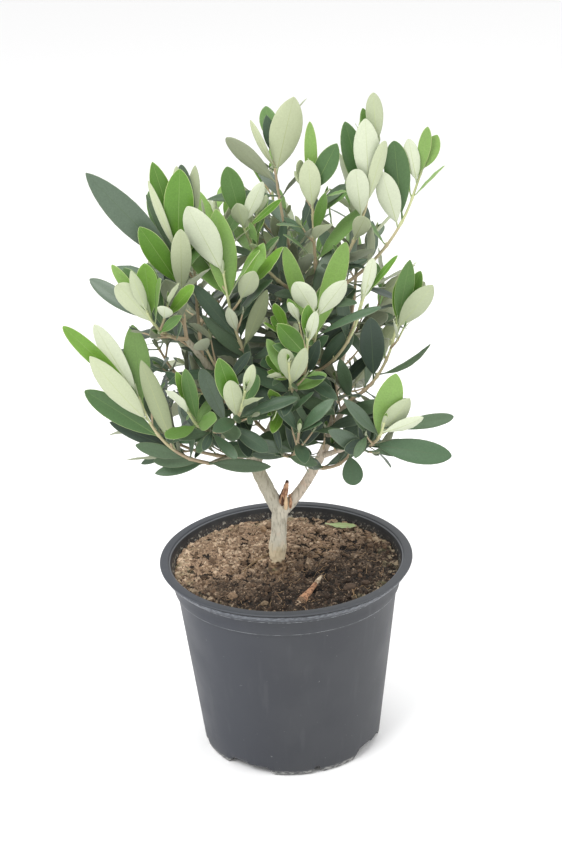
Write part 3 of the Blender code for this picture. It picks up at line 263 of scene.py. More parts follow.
SEED = 19
STEM_FOOT_RADIUS = 1.4
STEM_TIP_RADIUS = 0.8
STEM_STEPS = 4
STEM_REACH_OUT = 0.13  # how far a stem's middle stands out, and sags, as shares of its reach
STEM_SAG = 0.13
TWIG_LENGTH = 30.0
TWIG_STEPS = 2
CROWN_MIDDLE = Vector((-4, 0, 310))
FRONT = Vector((0, -1, 0))
SPREAD_OLD_DEG = 66.0
SPREAD_YOUNG_DEG = 24.0
OUTWARD_ROLL = 0.5
UPWARD_PULL = 0.4
AGE_RISE = 2.0  # only the last pairs of a stem are young
LEAF_SLENDER_OLD = 0.25  # a leaf's width as a share of its length
LEAF_SLENDER_YOUNG = 0.36
LEAF_THICKNESS = 0.6
LEAF_THICKNESS_SHARE = 0.0125
LEAF_SECTIONS = (0.33, 0.74)
ROOT_DEPTH = 0.3
PETIOLE_SHARE = 0.09
PETIOLE_HALF_WIDTH = 0.75

LOWEST_LEAF = 240.0
# A leaf that would touch something tries these changes of turn and spread, in degrees, and of length.
TRIES = (
    (0, 0, 1.0), (18, 0, 1.0), (-18, 0, 1.0), (0, 12, 1.0), (0, -12, 1.0), (34, 6, 0.92),
    (-34, 6, 0.92), (20, -12, 0.85), (-20, -12, 0.85), (0, 22, 0.8), (50, 0, 0.75), (-50, 0, 0.75),
)
# An outer leaf tries these places for its tip.
OUTER_SHIFTS = ((0, 0, 0), (0, -5, 0), (0, 5, 0), (3, -3, 2), (-3, 3, -2), (0, -10, 0), (0, 10, 0))


# ---------------------------------------------------------------- the tree's rule

def share_steps(steps):
    return [i / steps for i in range(steps + 1)]


def arc(start, via, tip, steps):
    """Points on the smooth bend from start through via to tip."""
    control = 2 * via - (start + tip) / 2
    return [start.lerp(control, t).lerp(control.lerp(tip, t), t) for t in share_steps(steps)]


def along(path, share):
    """The point and the direction at a share of a path's length."""
    lengths = [(b - a).length for a, b in zip(path, path[1:])]
    left = share * sum(lengths)
    for i, length in enumerate(lengths):
        if left <= length or i == len(lengths) - 1:
            point = path[i].lerp(path[i + 1], min(1.0, left / length))
            return point, (path[i + 1] - path[i]).normalized()
        left -= length


class Tube:
    """A round tapering length of wood: the points along it and the radius at each."""

    def __init__(self, path, radii):
        self.path = path
        self.radii = radii

    def grown(self, by):
        """The same tube with a skin this much further out, and that much longer at each end."""
        first = (self.path[0] - self.path[1]).normalized() * by
        last = (self.path[-1] - self.path[-2]).normalized() * by
        path = [self.path[0] + first, *self.path[1:-1], self.path[-1] + last]
        return Tube(path, [r + by for r in self.radii])

    def skin(self, sides):
        """Vertices and faces of the tube, for testing what touches it."""
        points, faces = [], []
        across = self.path[1] - self.path[0]
        side = across.cross(UP if abs(across.normalized().z) < 0.9 else Vector((1, 0, 0))).normalized()
        for i, centre in enumerate(self.path):
            ahead = self.path[min(i + 1, len(self.path) - 1)] - self.path[max(i - 1, 0)]
            ahead.normalize()
            side = (side - ahead * side.dot(ahead)).normalized()
            other = ahead.cross(side)
            for k in range(sides):
                turn = math.tau * k / sides
                points.append(centre + (side * math.cos(turn) + other * math.sin(turn)) * self.radii[i])
        for i in range(len(self.path) - 1):
            for k in range(sides):
                a, b = i * sides + k, i * sides + (k + 1) % sides
                faces.append((a, b, b + sides, a + sides))
        last = (len(self.path) - 1) * sides
        faces.append(tuple(range(sides))[::-1])
        faces.append(tuple(last + k for k in range(sides)))
        return points, faces


class Leaf:
    """One leaf, from its root on the stem to its tip: which way it faces, its width, curl and age."""

    def __init__(self, root, tip, facing, width, curl, cup, blunt, age):
        chord = tip - root
        straight = chord.normalized()
        facing = (facing - straight * facing.dot(straight)).normalized()
        half = curl / 2
        self.root = root
        self.ahead = straight * math.cos(half) - facing * math.sin(half)
        self.face = facing * math.cos(half) + straight * math.sin(half)
        self.length = chord.length * half / math.sin(half)
        self.width = width
        self.thickness = max(LEAF_THICKNESS, LEAF_THICKNESS_SHARE * self.length)
        self.curl = curl
        self.cup = cup
        self.blunt = blunt
        self.age = age

    def half_width(self, share):
        """Narrow petiole, then an outline that is widest past the middle."""
        if share <= PETIOLE_SHARE:
            return PETIOLE_HALF_WIDTH
        u = (share - PETIOLE_SHARE) / (1 - PETIOLE_SHARE)
        rise, fall = 0.85, self.blunt
        widest = rise / (rise + fall)
        top = widest**rise * (1 - widest) ** fall
        blade = self.width / 2 * (u**rise * (1 - u) ** fall) / top
        return max(blade, PETIOLE_HALF_WIDTH * (1 - u))

    def place(self, share):
        """The midrib's point, the blade's facing and its sideways direction at a share of its length."""
        turn = self.curl * share
        bend = self.length / self.curl
        point = self.root + self.ahead * (bend * math.sin(turn)) + self.face * (bend * (1 - math.cos(turn)))
        facing = self.face * math.cos(turn) - self.ahead * math.sin(turn)
        return point, facing, self.ahead.cross(self.face)

    def spread(self):
        """Points along the midrib and both edges of the blade."""
        points = []
        for share in (0.2, 0.36, 0.52, 0.68, 0.84, 1.0):
            centre, _, side = self.place(share)
            half = self.half_width(share)
            points += [centre, centre + side * half, centre - side * half]
        return points

    def solid(self, extra=0.0, first=0.0):
        """Vertices and faces of the closed leaf, pointed at both ends: grown by extra, from a share on."""
        foot, _, _ = self.place(first)
        points = [foot - self.ahead * (extra if first else ROOT_DEPTH)]
        for share in LEAF_SECTIONS:
            centre, facing, side = self.place(share)
            half = self.half_width(share) + extra
            edge = facing * (self.cup * half + extra)
            keel = facing * (self.thickness + extra - 0.5 * self.cup * half)
            points += [centre + side * half + edge, centre - side * half + edge, centre - keel]
        points.append(self.place(1.0 + extra / self.length)[0])
        last = len(points) - 1
        faces = []
        for k in range(3):
            after = (k + 1) % 3
            faces.append((0, 1 + after, 1 + k))
            faces.append((1 + k, 1 + after, 4 + after, 4 + k))
            faces.append((4 + k, 4 + after, last))
        return points, faces


def seen_at(point):
    """Where the eye sees this point, across and up on the plane through the trunk."""
    seen = EYE + (point - EYE) * (EYE.y / (EYE.y - point.y))
    return seen.x, seen.z


class Space:
    """What is already in the crown, for skipping a leaf or twig that would touch it, or that would
    close one of the crown's openings or hide one of its shown leaves."""

    def __init__(self):
        self.held = []
        self.clear = [(x, z, radius, math.inf) for x, z, radius in OPENINGS]

    def show(self, leaf):
        """Keeps this leaf in view: nothing grows before it, as the eye sees it."""
        for share in SHOWN_SHARES:
            centre, _, _ = leaf.place(share)
            self.clear.append((*seen_at(centre), leaf.half_width(share), centre.y - 1))

    def hidden(self, points):
        """Whether any of these points stands in an opening or before a shown leaf."""
        seen = np.array([seen_at(point) for point in points])[:, None, :]
        depth = np.array([point.y for point in points])[:, None]
        clear = np.array(self.clear)
        apart = ((seen - clear[:, :2]) ** 2).sum(axis=2)
        return bool(((apart < clear[:, 2] ** 2) & (depth < clear[:, 3])).any())

    @staticmethod
    def tree(points, faces):
        return BVHTree.FromPolygons(points, faces, epsilon=0.0)

    def add(self, points, faces, owner):
        low = Vector(map(min, *points))
        high = Vector(map(max, *points))
        self.held.append((self.tree(points, faces), low, high, owner))

    def free(self, points, faces, skipped=()):
        low = Vector(map(min, *points))
        high = Vector(map(max, *points))
        own = None
        for tree, least, most, owner in self.held:
            if owner in skipped:
                continue
            if any(high[i] < least[i] or low[i] > most[i] for i in range(3)):
                continue
            own = own or self.tree(points, faces)
            if own.overlap(tree):
                return False
        return True


def tapered(path, first, last):
    steps = len(path) - 1
    return Tube(path, [first + (last - first) * i / steps for i in range(steps + 1)])


WOOD_CHIP = tapered([Vector((8, -59, 140)), Vector((17, -44, 143.5)), Vector((26, -28, 147))], 3.6, 1.0)
FALLEN_LEAF = Leaf(Vector((32, 64, 144.9)), Vector((56, 57, 145.0)), UP, 10, 0.3, 0.1, 0.7, 0.5)


def grow_wood():
    """The trunk and every limb, by name."""
    shares = [share for share, _ in TRUNK_RADII]
    smooth = arc(TRUNK_FOOT, TRUNK_MIDDLE, TRUNK_FORK, 24)
    path = [along(smooth, share)[0] for share in shares]
    wood = {"trunk": Tube(path, [radius for _, radius in TRUNK_RADII])}
    for name, (parent, share, via, tip, first, last) in LIMBS.items():
        start, _ = along(wood[parent].path, share)
        wood[name] = tapered(arc(start, Vector(via), Vector(tip), LIMB_STEPS), first, last)
    return wood


def stem_of(wood, limb, share, tip):
    """A mass's stem: it reaches out from its limb first, and turns up towards its tip."""
    start, _ = along(wood[limb].path, share)
    reach = tip - start
    sag = Vector((reach.x * STEM_REACH_OUT, reach.y * STEM_REACH_OUT, -max(0.0, reach.z) * STEM_SAG))
    via = start + reach * 0.5 + sag
    return tapered(arc(start, via, tip, STEM_STEPS), STEM_FOOT_RADIUS, STEM_TIP_RADIUS)


def leaf_frame(ahead, turn, spread):
    """The direction and the facing of a leaf that leaves a stem at this turn round it and this angle."""
    side = ahead.cross(UP)
    if side.length < 0.2:
        side = ahead.cross(Vector((0, 1, 0)))
    side.normalize()
    out = Matrix.Rotation(turn, 3, ahead) @ side
    pointing = ahead * math.cos(spread) + out * math.sin(spread)
    facing = ahead - pointing * ahead.dot(pointing)
    return pointing.normalized(), facing.normalized()


def seen_from(place):
    """The way that a leaf here turns one of its faces: out of the crown, and mostly to its front or back."""
    out = (place - CROWN_MIDDLE).normalized()
    return (out - FRONT * math.copysign(0.8, out.y)).normalized()


def leaf_form(age, draw):
    """A leaf's curl, cup and how blunt its tip is: old leaves bend back, young ones bend in."""
    curl = 0.75 * age - 0.30 + 0.22 * draw.uniform(-1, 1)
    cup = 0.10 + 0.22 * age + 0.06 * draw.uniform(-1, 1)
    blunt = 0.66 + 0.14 * draw.uniform(-1, 1)
    return math.copysign(max(abs(curl), 0.03), curl), cup, blunt


def outer_leaves(space, owner, stem, draw):
    """The mass's leaves of the outline and the front, each moved a little where it would touch something."""
    found = []
    for share, tip, width, age, side, *curl in OUTER_LEAVES.get(owner, ()):
        root, _ = along(stem.path, share)
        form = leaf_form(age, draw)
        form = (*curl, *form[-2:]) if curl else form
        facing = FRONT * side + UP * (1 - 0.7 * abs(side))
        choices = (
            Leaf(root, Vector(tip) + Vector(shift), facing, width, *form, age) for shift in OUTER_SHIFTS
        )
        found.append(first_free(space, owner, choices))
    found = [leaf for leaf in found if leaf]
    for leaf in found:
        space.show(leaf)
    return found


def ruled_leaf(space, owner, stem, share, turn, length, age, draw):
    """A leaf at this place on the stem, or None where every try touches something."""
    root, ahead = along(stem.path, share)
    turn += math.radians(9) * draw.uniform(-1, 1)
    spread_deg = SPREAD_OLD_DEG + (SPREAD_YOUNG_DEG - SPREAD_OLD_DEG) * age
    spread = math.radians(spread_deg + 6 * draw.uniform(-1, 1))
    length *= 1 + 0.10 * draw.uniform(-1, 1)
    form = leaf_form(age, draw)
    choices = []
    for more_turn, more_spread, scale in TRIES:
        wider = max(0.2, spread + math.radians(more_spread))
        pointing, facing = leaf_frame(ahead, turn + math.radians(more_turn), wider)
        pointing = (pointing + UP * UPWARD_PULL * age).normalized()
        side = 1 if facing.dot(seen_from(root)) > 0 or age < 0.35 else -1
        facing += seen_from(root) * OUTWARD_ROLL * side + UP * 0.4 * (1 - age)
        width = length * (LEAF_SLENDER_OLD + (LEAF_SLENDER_YOUNG - LEAF_SLENDER_OLD) * age)
        tip = root + pointing * length * scale
        leaf = Leaf(root, tip, facing, width, *form, age)
        if tip.z > LOWEST_LEAF and not space.hidden(leaf.spread()):
            choices.append(leaf)
    return first_free(space, owner, choices)


def first_free(space, owner, choices):
    """The first of these leaves that touches nothing, which then holds its space."""
    for leaf in choices:
        blade = leaf.solid(CLEARANCE, 0.1)
        whole = leaf.solid(CLEARANCE)
        if not space.free(*blade, skipped=(owner + " stem",)):
            continue
        if space.free(*whole, skipped=(owner, owner + " stem")):
            space.add(*whole, owner)
            return leaf
    return None


def leaf_pairs(space, owner, stem, pairs, first_share, lengths, ages, turn, draw):
    """Opposite pairs up a stem, each a quarter turn on from the last."""
    found = []
    for i in range(pairs):
        up = i / (pairs - 1)
        share = min(first_share + (1 - first_share) * up, 0.995)
        length = lengths[0] + (lengths[1] - lengths[0]) * up
        age = ages[0] + (ages[1] - ages[0]) * up**AGE_RISE
        for half in (0, 1):
            at_turn = turn + math.pi * half + math.pi / 2 * i
            found.append(ruled_leaf(space, owner, stem, share, at_turn, length, age, draw))
    return [leaf for leaf in found if leaf]


def grow_foliage(wood):
    """Each mass by name, its own stem first and its leaves, and the space that they all hold."""
    space = Space()
    for name, tube in wood.items():
        space.add(*tube.grown(CLEARANCE).skin(LIMB_SIDES), name)
    foliage = {}
    for name, (limb, share, tip, *_) in MASSES.items():
        stem = stem_of(wood, limb, share, Vector(tip))
        foliage[name] = ([stem], [])
        space.add(*stem.grown(CLEARANCE).skin(STEM_SIDES), name + " stem")
    draws = {name: random.Random(SEED * 1000 + index) for index, name in enumerate(MASSES)}
    for name, (stems, leaves) in foliage.items():
        leaves += outer_leaves(space, name, stems[0], draws[name])
    for name, (stems, leaves) in foliage.items():
        _, _, _, _, _, _, turn, twigs = MASSES[name]
        stems += grow_twigs(space, name, stems[0], math.radians(turn), twigs, draws[name])
    for name, (stems, leaves) in foliage.items():
        _, _, _, pairs, lengths, ages, turn, _ = MASSES[name]
        turn = math.radians(turn)
        leaves += leaf_pairs(space, name, stems[0], pairs, 0.2, lengths, ages, turn, draws[name])
        small = (0.8 * lengths[1], 0.7 * lengths[1])
        late = (0.8 * ages[1], ages[1])
        for twig in stems[1:]:
            leaves += leaf_pairs(space, name, twig, 2, 0.5, small, late, turn, draws[name])
    return foliage, space


def grow_twigs(space, name, stem, turn, count, draw):
    """Side twigs from a mass's stem, where there is room for them."""
    found = []
    for i in range(count * 2):
        share = 0.42 + 0.22 * draw.random() + 0.1 * i
        start, ahead = along(stem.path, share)
        pointing, _ = leaf_frame(ahead, turn + math.pi * i + draw.uniform(-0.4, 0.4), math.radians(48))
        length = TWIG_LENGTH * draw.uniform(0.8, 1.1)
        tip = start + (pointing + UP * 0.25).normalized() * length
        via = start.lerp(tip, 0.5) - UP * 0.06 * length
        twig = tapered(arc(start, via, tip, TWIG_STEPS), 0.95, 0.6)
        tested = twig.grown(CLEARANCE).skin(STEM_SIDES)
        if len(found) == count or space.hidden(twig.path[1:]):
            continue
        if space.free(*tested, skipped=(name + " stem",)):
            space.add(*tested, name + " stem")
            found.append(twig)
    return found


def wall_radius(height):
    """The outside of the pot's wall at this height, under the shoulder."""
    return BASE_RADIUS + (WALL_TOP_RADIUS - BASE_RADIUS) * height / SHOULDER_HEIGHT


def soil_height(x, y):
    """The soil's surface: nearly level, with a hollow round the trunk, low lumps and a few heaps."""
    near = math.exp(-(((x - TRUNK_FOOT.x) ** 2 + (y - TRUNK_FOOT.y) ** 2) / SOIL_HOLLOW_RADIUS**2))
    heaps = [(lift, math.exp(-((x - a) ** 2 + (y - b) ** 2) / wide**2)) for a, b, lift, wide in SOIL_HEAPS]
    heaped = max(share for _, share in heaps)
    lumps = 0.8 * math.sin(0.11 * x + 1.3) * math.cos(0.13 * y) + 0.5 * math.sin(0.23 * x - 0.19 * y + 0.6)
    flat = SOIL_LEVEL - SOIL_HOLLOW * near + lumps * (1 - near) * (1 - heaped)
    return flat + sum(lift * share for lift, share in heaps)


# ---------------------------------------------------------------- the rule carried on, to finer shoots

SHOOT_SPREAD = math.radians(42)
SHOOT_STEPS = 3
SHOOT_RISE = 0.3
SHOOT_SAG = 0.06
SHOOT_RADII = (0.8, 0.5)
LAST_SHOOT_SHARE = 0.97
GOLDEN_TURN = math.radians(137.5)

# Fine shoots straight off the limbs, which fill the crown's dark heart: how many tries, the first
# share of the limb, and the lengths of the shoots.
LIMB_SHOOTS = {
    "left_bough": (6, 0.7, (26, 38)),
    "right_bough": (5, 0.78, (24, 34)),
    "leader": (12, 0.15, (26, 44)),
    "upper_leader": (18, 0.04, (24, 42)),
    "left_limb": (9, 0.10, (22, 36)),
    "centre_limb": (8, 0.15, (20, 34)),
    "left_front_limb": (5, 0.3, (18, 30)),
    "low_mid_limb": (4, 0.4, (18, 28)),
    "right_limb": (4, 0.2, (20, 30)),
    "right_low_limb": (4, 0.4, (18, 28)),
    "low_left_limb": (4, 0.4, (18, 28)),
    "back_left_limb": (8, 0.25, (24, 38)),
    "back_limb": (8, 0.25, (24, 38)),
    "back_right_limb": (7, 0.25, (24, 38)),
}
MASS_SHOOT_TRIES = 3
MASS_SHOOT_LENGTHS = (15, 24)


def fine_shoot(space, owner, parent, share, turn, length, pairs, sizes, ages, draw):
    """A short shoot with its leaves, or None where there is no room for it."""
    start, ahead = along(parent.path, share)
    pointing, _ = leaf_frame(ahead, turn, SHOOT_SPREAD)
    tip = start + (pointing + UP * SHOOT_RISE).normalized() * length
    via = start.lerp(tip, 0.5) - UP * SHOOT_SAG * length
    shoot = tapered(arc(start, via, tip, SHOOT_STEPS), *SHOOT_RADII)
    if tip.z < LOWEST_LEAF or space.hidden(shoot.path[1:]):
        return None
    tested = shoot.grown(CLEARANCE).skin(STEM_SIDES)
    if not space.free(*tested, skipped=(owner, owner + " stem")):
        return None
    space.add(*tested, owner + " stem")
    return shoot, leaf_pairs(space, owner, shoot, pairs, 0.4, sizes, ages, turn, draw)


def grow_fine(wood, foliage, space):
    """Fine shoots off the limbs and off each mass's stem: a list of (shoot, its leaves)."""
    draw = random.Random(SEED)
    found = []
    for name, (tries, first, lengths) in LIMB_SHOOTS.items():
        for i in range(tries):
            share = first + (LAST_SHOOT_SHARE - first) * (i + 0.5 * draw.random()) / tries
            length = draw.uniform(*lengths)
            sizes = (draw.uniform(38, 50), draw.uniform(32, 42))
            ages = (0.0, 0.25 * draw.random())
            turn = GOLDEN_TURN * i
            found.append(fine_shoot(space, name, wood[name], share, turn, length, 3, sizes, ages, draw))
    for name, (stems, _) in foliage.items():
        _, _, _, _, lengths, ages, _, _ = MASSES[name]
        for i in range(MASS_SHOOT_TRIES):
            share = 0.12 + 0.8 * (i + draw.random()) / MASS_SHOOT_TRIES
            length = draw.uniform(*MASS_SHOOT_LENGTHS)
            age = ages[0] + (ages[1] - ages[0]) * share**AGE_RISE
            sizes = (0.75 * lengths[1], 0.65 * lengths[1])
            turn = GOLDEN_TURN * i + draw.uniform(0, 1)
            shoot_ages = (0.6 * age, age)
            found.append(fine_shoot(space, name, stems[0], share, turn, length, 2, sizes, shoot_ages, draw))
    return [shoot for shoot in found if shoot and shoot[1]]


# ---------------------------------------------------------------- helpers for meshes and materials

def srgb(red, green, blue):
    """A colour as a screen shows it, 0 to 255, in the linear values that Blender takes."""
    return tuple(
        c / 12.92 if c <= 0.04045 else ((c + 0.055) / 1.055) ** 2.4
        for c in (red / 255, green / 255, blue / 255)
    )


def shaded(colour, by):
    return tuple(by * c for c in colour)


def linked(name, data):
    """A new object of the scene."""
    made = bpy.data.objects.new(name, data)
    bpy.context.scene.collection.objects.link(made)
    return made


class Joined:
    """Points, faces and each face's material, gathered in millimetres for one joined piece."""

    def __init__(self, name, paints):
        self.name = name
        self.paints = paints
        self.points, self.faces, self.slots = [], [], []

    def add(self, points, faces, slots):
        """Adds a form. Its slots are one material for all of its faces, or one for each."""
        first = len(self.points)
        self.points += points
        self.faces += [tuple(first + i for i in face) for face in faces]
        self.slots += [slots] * len(faces) if isinstance(slots, int) else slots

    def piece(self, slot):
        """The joined mesh as a piece of the scene that stands on the plant's body."""
        mesh = bpy.data.meshes.new(self.name)
        mesh.from_pydata([tuple(MM * c for c in p) for p in self.points], [], self.faces)
        for paint in self.paints:
            mesh.materials.append(paint)
        mesh.polygons.foreach_set("material_index", self.slots)
        mesh.shade_smooth()
        piece = linked(self.name, mesh)
        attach(piece, "root")
        return piece


class Paint:
    """A material and its nodes. Places are the object's own, in metres."""

    def __init__(self, name, colour, roughness, **constants):
        self.made = bpy.data.materials.new(name)
        self.made.use_nodes = True
        self.tree = self.made.node_tree
        self.inputs = self.tree.nodes["Principled BSDF"].inputs
        self.inputs["Base Color"].default_value = (*colour, 1)
        self.inputs["Roughness"].default_value = roughness
        for socket, value in constants.items():
            self.inputs[socket.replace("_", " ")].default_value = value

    def node(self, kind, links=(), **settings):
        made = self.tree.nodes.new("ShaderNode" + kind)
        for name, value in settings.items():
            setattr(made, name, value)
        for socket, value in dict(links).items():
            self.feed(made.inputs[socket], value)
        return made

    def feed(self, socket, value):
        """Links an output to the socket, or sets a number or colour on it."""
        if isinstance(value, bpy.types.NodeSocket):
            self.tree.links.new(value, socket)
        else:
            socket.default_value = value

    def place(self, stretch=(1, 1, 1)):
        coordinates = self.node("TexCoord").outputs["Object"]
        return self.node("Mapping", {"Vector": coordinates, "Scale": stretch}).outputs["Vector"]

    def axis(self, name):
        """One coordinate of the place, in metres."""
        return self.node("SeparateXYZ", {0: self.place()}).outputs[name]

    def noise(self, size, detail=4.0, stretch=(1, 1, 1)):
        """Noise whose lumps are about this many millimetres across, from 0 to 1."""
        links = {"Vector": self.place(stretch), "Scale": 1 / (size * MM), "Detail": detail}
        return self.node("TexNoise", links).outputs["Fac"]

    def add(self, first, second):
        return self.node("Math", {0: first, 1: second}, operation="ADD").outputs[0]

    def times(self, first, second):
        return self.node("Math", {0: first, 1: second}, operation="MULTIPLY").outputs[0]

    def between(self, value, low, high, first=0.0, last=1.0):
        """value carried smoothly from low..high to first..last."""
        links = {"Value": value, 1: low, 2: high, 3: first, 4: last}
        return self.node("MapRange", links, interpolation_type="SMOOTHSTEP").outputs[0]

    def band(self, low, high, soft):
        """1 between two heights in millimetres, and 0 beyond them."""
        height = self.axis("Z")
        rise = self.between(height, (low - soft) * MM, low * MM)
        return self.times(rise, self.between(height, high * MM, (high + soft) * MM, 1, 0))

    def mix(self, share, first, second):
        """The first colour, with this share of the second."""
        made = self.node("Mix", data_type="RGBA")
        self.feed(made.inputs[0], share)
        for socket, value in ((6, first), (7, second)):
            self.feed(made.inputs[socket], (*value, 1) if isinstance(value, tuple) else value)
        return made.outputs[2]

    def coat(self, colour, *shares):
        """Lays a colour over those laid so far, by the product of its shares, which comes back. Each
        share is an output, a number, or the values that between takes."""
        found = [self.between(*share) if isinstance(share, tuple) else share for share in shares]
        share = found[0]
        for other in found[1:]:
            share = self.times(share, other)
        socket = self.inputs["Base Color"]
        under = socket.links[0].from_socket if socket.is_linked else tuple(socket.default_value)[:3]
        self.feed(socket, self.mix(share, under, colour))
        return share

    def bump(self, *layers):
        """Relief, from (height, depth in millimetres) layers."""
        normal = None
        for height, depth in layers:
            links = {"Height": height, "Strength": 1.0, "Distance": depth * MM}
            if normal:
                links["Normal"] = normal
            normal = self.node("Bump", links).outputs["Normal"]
        self.feed(self.inputs["Normal"], normal)


def mottled(name, roughness, depth, pattern, pale, dark=None, low=0.42, high=0.62):
    """A material with relief this deep, mottled or streaked from a pale colour to a dark one. The
    pattern is what noise takes, and low..high is where it darkens."""
    paint = Paint(name, pale, roughness)
    mottle = paint.noise(*pattern)
    if dark:
        paint.coat(dark, (mottle, low, high))
    paint.bump((mottle, depth))
    return paint.made


def smoothed(tube, step):
    """The same tube through a smooth curve, with points about this far apart."""
    path, radii = tube.path, tube.radii
    ahead = [path[0] * 2 - path[1], *path, path[-1] * 2 - path[-2]]
    points, sizes = [], []
    for i in range(len(path) - 1):
        a, b, c, d = ahead[i:i + 4]
        steps = max(2, round((c - b).length / step))
        for k in range(steps):
            t = k / steps
            points.append(
                0.5 * (2 * b + (c - a) * t + (2 * a - 5 * b + 4 * c - d) * t**2
                       + (3 * b - a - 3 * c + d) * t**3)
            )
            sizes.append(radii[i] + (radii[i + 1] - radii[i]) * t)
    return Tube([*points, path[-1]], [*sizes, radii[-1]])


def shares_along(path):
    """How far along the path each of its points is, from 0 to 1."""
    lengths = np.cumsum([0.0] + [(b - a).length for a, b in zip(path, path[1:])])
    return lengths / lengths[-1]


# ---------------------------------------------------------------- leaves

LEAF_BLADE_ROWS = 15
LEAF_END_SHARE = 0.9985
PETIOLE_ROWS = (-0.012, 0.03, 0.07)
PETIOLE_TAPER = 3.0
PETIOLE_HALF_THICKNESS = 0.5
BLADE_FROM_SHARE = 0.05
BLADE_FULL_WITHIN = 0.13
BLADE_HALF_THICKNESS = 0.16
RIM_WIDTH = 0.32
MIDRIB_HALF_WIDTH = 0.24
MIDRIB_KEEL = 0.26  # how far the midrib stands out under the blade, and how deep it lies on top
MIDRIB_GROOVE = 0.10
LEAF_TWIST = math.radians(9)
LEAF_RIPPLE = 0.35
UNDER, UPPER, RIM, RIB, UPPER_RIB = range(5)
# The ring round a blade: eight columns over the upper face, then six back under it.
RING_SLOTS = (
    RIM, UPPER, UPPER, UPPER_RIB, UPPER, UPPER, RIM,
    UNDER, UNDER, UNDER, RIB, UNDER, UNDER, UNDER,
)
RING = len(RING_SLOTS)

# Each kind's shades of the upper face and of the underside, then its midrib below, its rim, its
# midrib above, and the upper face's roughness.
LEAF_KINDS = {
    "leaves_old": (
        (srgb(60, 81, 60), srgb(70, 95, 67), srgb(53, 69, 57), srgb(77, 98, 71), srgb(82, 98, 81)),
        (srgb(143, 150, 123), srgb(160, 167, 139), srgb(126, 133, 109)),
        srgb(140, 146, 114), srgb(98, 112, 84), srgb(72, 90, 62), 0.44,
    ),
    "leaves_mature": (
        (srgb(80, 113, 55), srgb(94, 127, 62), srgb(71, 101, 57), srgb(107, 138, 75)),
        (srgb(161, 171, 132), srgb(175, 183, 148), srgb(147, 157, 120)),
        srgb(160, 168, 120), srgb(132, 152, 96), srgb(98, 124, 68), 0.42,
    ),
    "leaves_young": (
        (srgb(88, 129, 44), srgb(103, 142, 52), srgb(119, 152, 77), srgb(82, 121, 42)),
        (srgb(177, 185, 152), srgb(191, 198, 172), srgb(165, 174, 141)),
        srgb(170, 180, 132), srgb(164, 180, 118), srgb(122, 150, 80), 0.42,
    ),
}
YOUNG_FROM = 0.66
MATURE_FROM = 0.33
AGE_SCATTER = 0.12
BACK_FROM = -8.0  # the old leaves rooted behind this are a piece of their own


def leaf_paint(name, colour, roughness, mottle, **constants):
    """A leaf face's material: its colour, finely mottled, and a leathery skin."""
    paint = Paint(name, shaded(colour, 1 - mottle), roughness, **constants)
    fine = paint.noise(1.1, 5)
    paint.coat(shaded(colour, 1 + mottle), fine)
    paint.bump((fine, 0.02), (paint.noise(0.4, 3), 0.01))
    return paint.made


def leaf_paints(name, uppers, unders, rib, rim, upper_rib, gloss):
    """One kind's materials by face and shade: every shade of the two faces, then the rest."""
    paints = {}
    for i, colour in enumerate(unders):
        paints[UNDER, i] = leaf_paint(f"{name}_under_{i}", colour, 0.62, 0.12, Sheen_Weight=0.12)
    shine = {"Coat_Weight": 0.06, "Coat_Roughness": 0.3, "Specular_IOR_Level": 0.38}
    for i, colour in enumerate(uppers):
        paints[UPPER, i] = leaf_paint(f"{name}_upper_{i}", colour, gloss, 0.25, **shine)
    for part, label, colour, roughness in (
        (RIM, "rim", rim, 0.5), (RIB, "rib", rib, 0.5), (UPPER_RIB, "upper_rib", upper_rib, 0.45),
    ):
        paints[part, 0] = Paint(f"{name}_{label}", colour, roughness).made
    return paints


def leaf_points(leaf, draw):
    """The rings of points round a leaf, from its root to its tip, and how many rings."""
    rows = [*PETIOLE_ROWS]
    for k in range(LEAF_BLADE_ROWS + 1):
        u = 0.5 - 0.5 * math.cos(math.pi * k / LEAF_BLADE_ROWS)
        rows.append(PETIOLE_SHARE + (LEAF_END_SHARE - PETIOLE_SHARE) * u)
    twist = draw.uniform(-1, 1) * LEAF_TWIST
    wave, phase = draw.uniform(5, 9), draw.uniform(0, math.tau)
    ripple = draw.uniform(0.3, 1) * LEAF_RIPPLE
    points = []
    for share in rows:
        centre, facing, side = leaf.place(max(share, 0.0))
        half = PETIOLE_HALF_WIDTH * (1.15 - PETIOLE_TAPER * max(share, 0))
        if share < 0:
            centre = centre + leaf.ahead * share * leaf.length
        if share > PETIOLE_SHARE:
            half = leaf.half_width(share)
        turn = twist * (share - 0.2)
        side, facing = (
            side * math.cos(turn) + facing * math.sin(turn),
            facing * math.cos(turn) - side * math.sin(turn),
        )
        blade = min(1.0, max(0.0, (share - BLADE_FROM_SHARE) / BLADE_FULL_WITHIN))
        rim = 1 - min(0.4, RIM_WIDTH / half)
        rib = min(0.3, MIDRIB_HALF_WIDTH * (1.2 - share) / half)
        columns = (-1, -rim, -0.5 * (rim + rib), -rib, rib, 0.5 * (rim + rib), rim, 1)
        edge = ripple * blade * math.sin(wave * share * math.pi + phase) * min(1.0, half / 4)
        for under in (False, True):
            for t in columns[1:-1][::-1] if under else columns:
                middle = abs(t) <= rib + 1e-6
                flat = leaf.cup * half * (0.5 + 0.5 * t * t) + edge * t * abs(t)
                if under:
                    lift = flat - BLADE_HALF_THICKNESS - MIDRIB_KEEL * (1.1 - share) * middle
                else:
                    lift = flat + BLADE_HALF_THICKNESS * (abs(t) < 1) - MIDRIB_GROOVE * middle
                dome = math.sqrt(max(0.0, 1 - t * t)) * (-1 if under else 1)
                lift = lift * blade + PETIOLE_HALF_THICKNESS * dome * (1 - blade)
                points.append(centre + side * (half * t) + facing * lift)
    return points, len(rows)


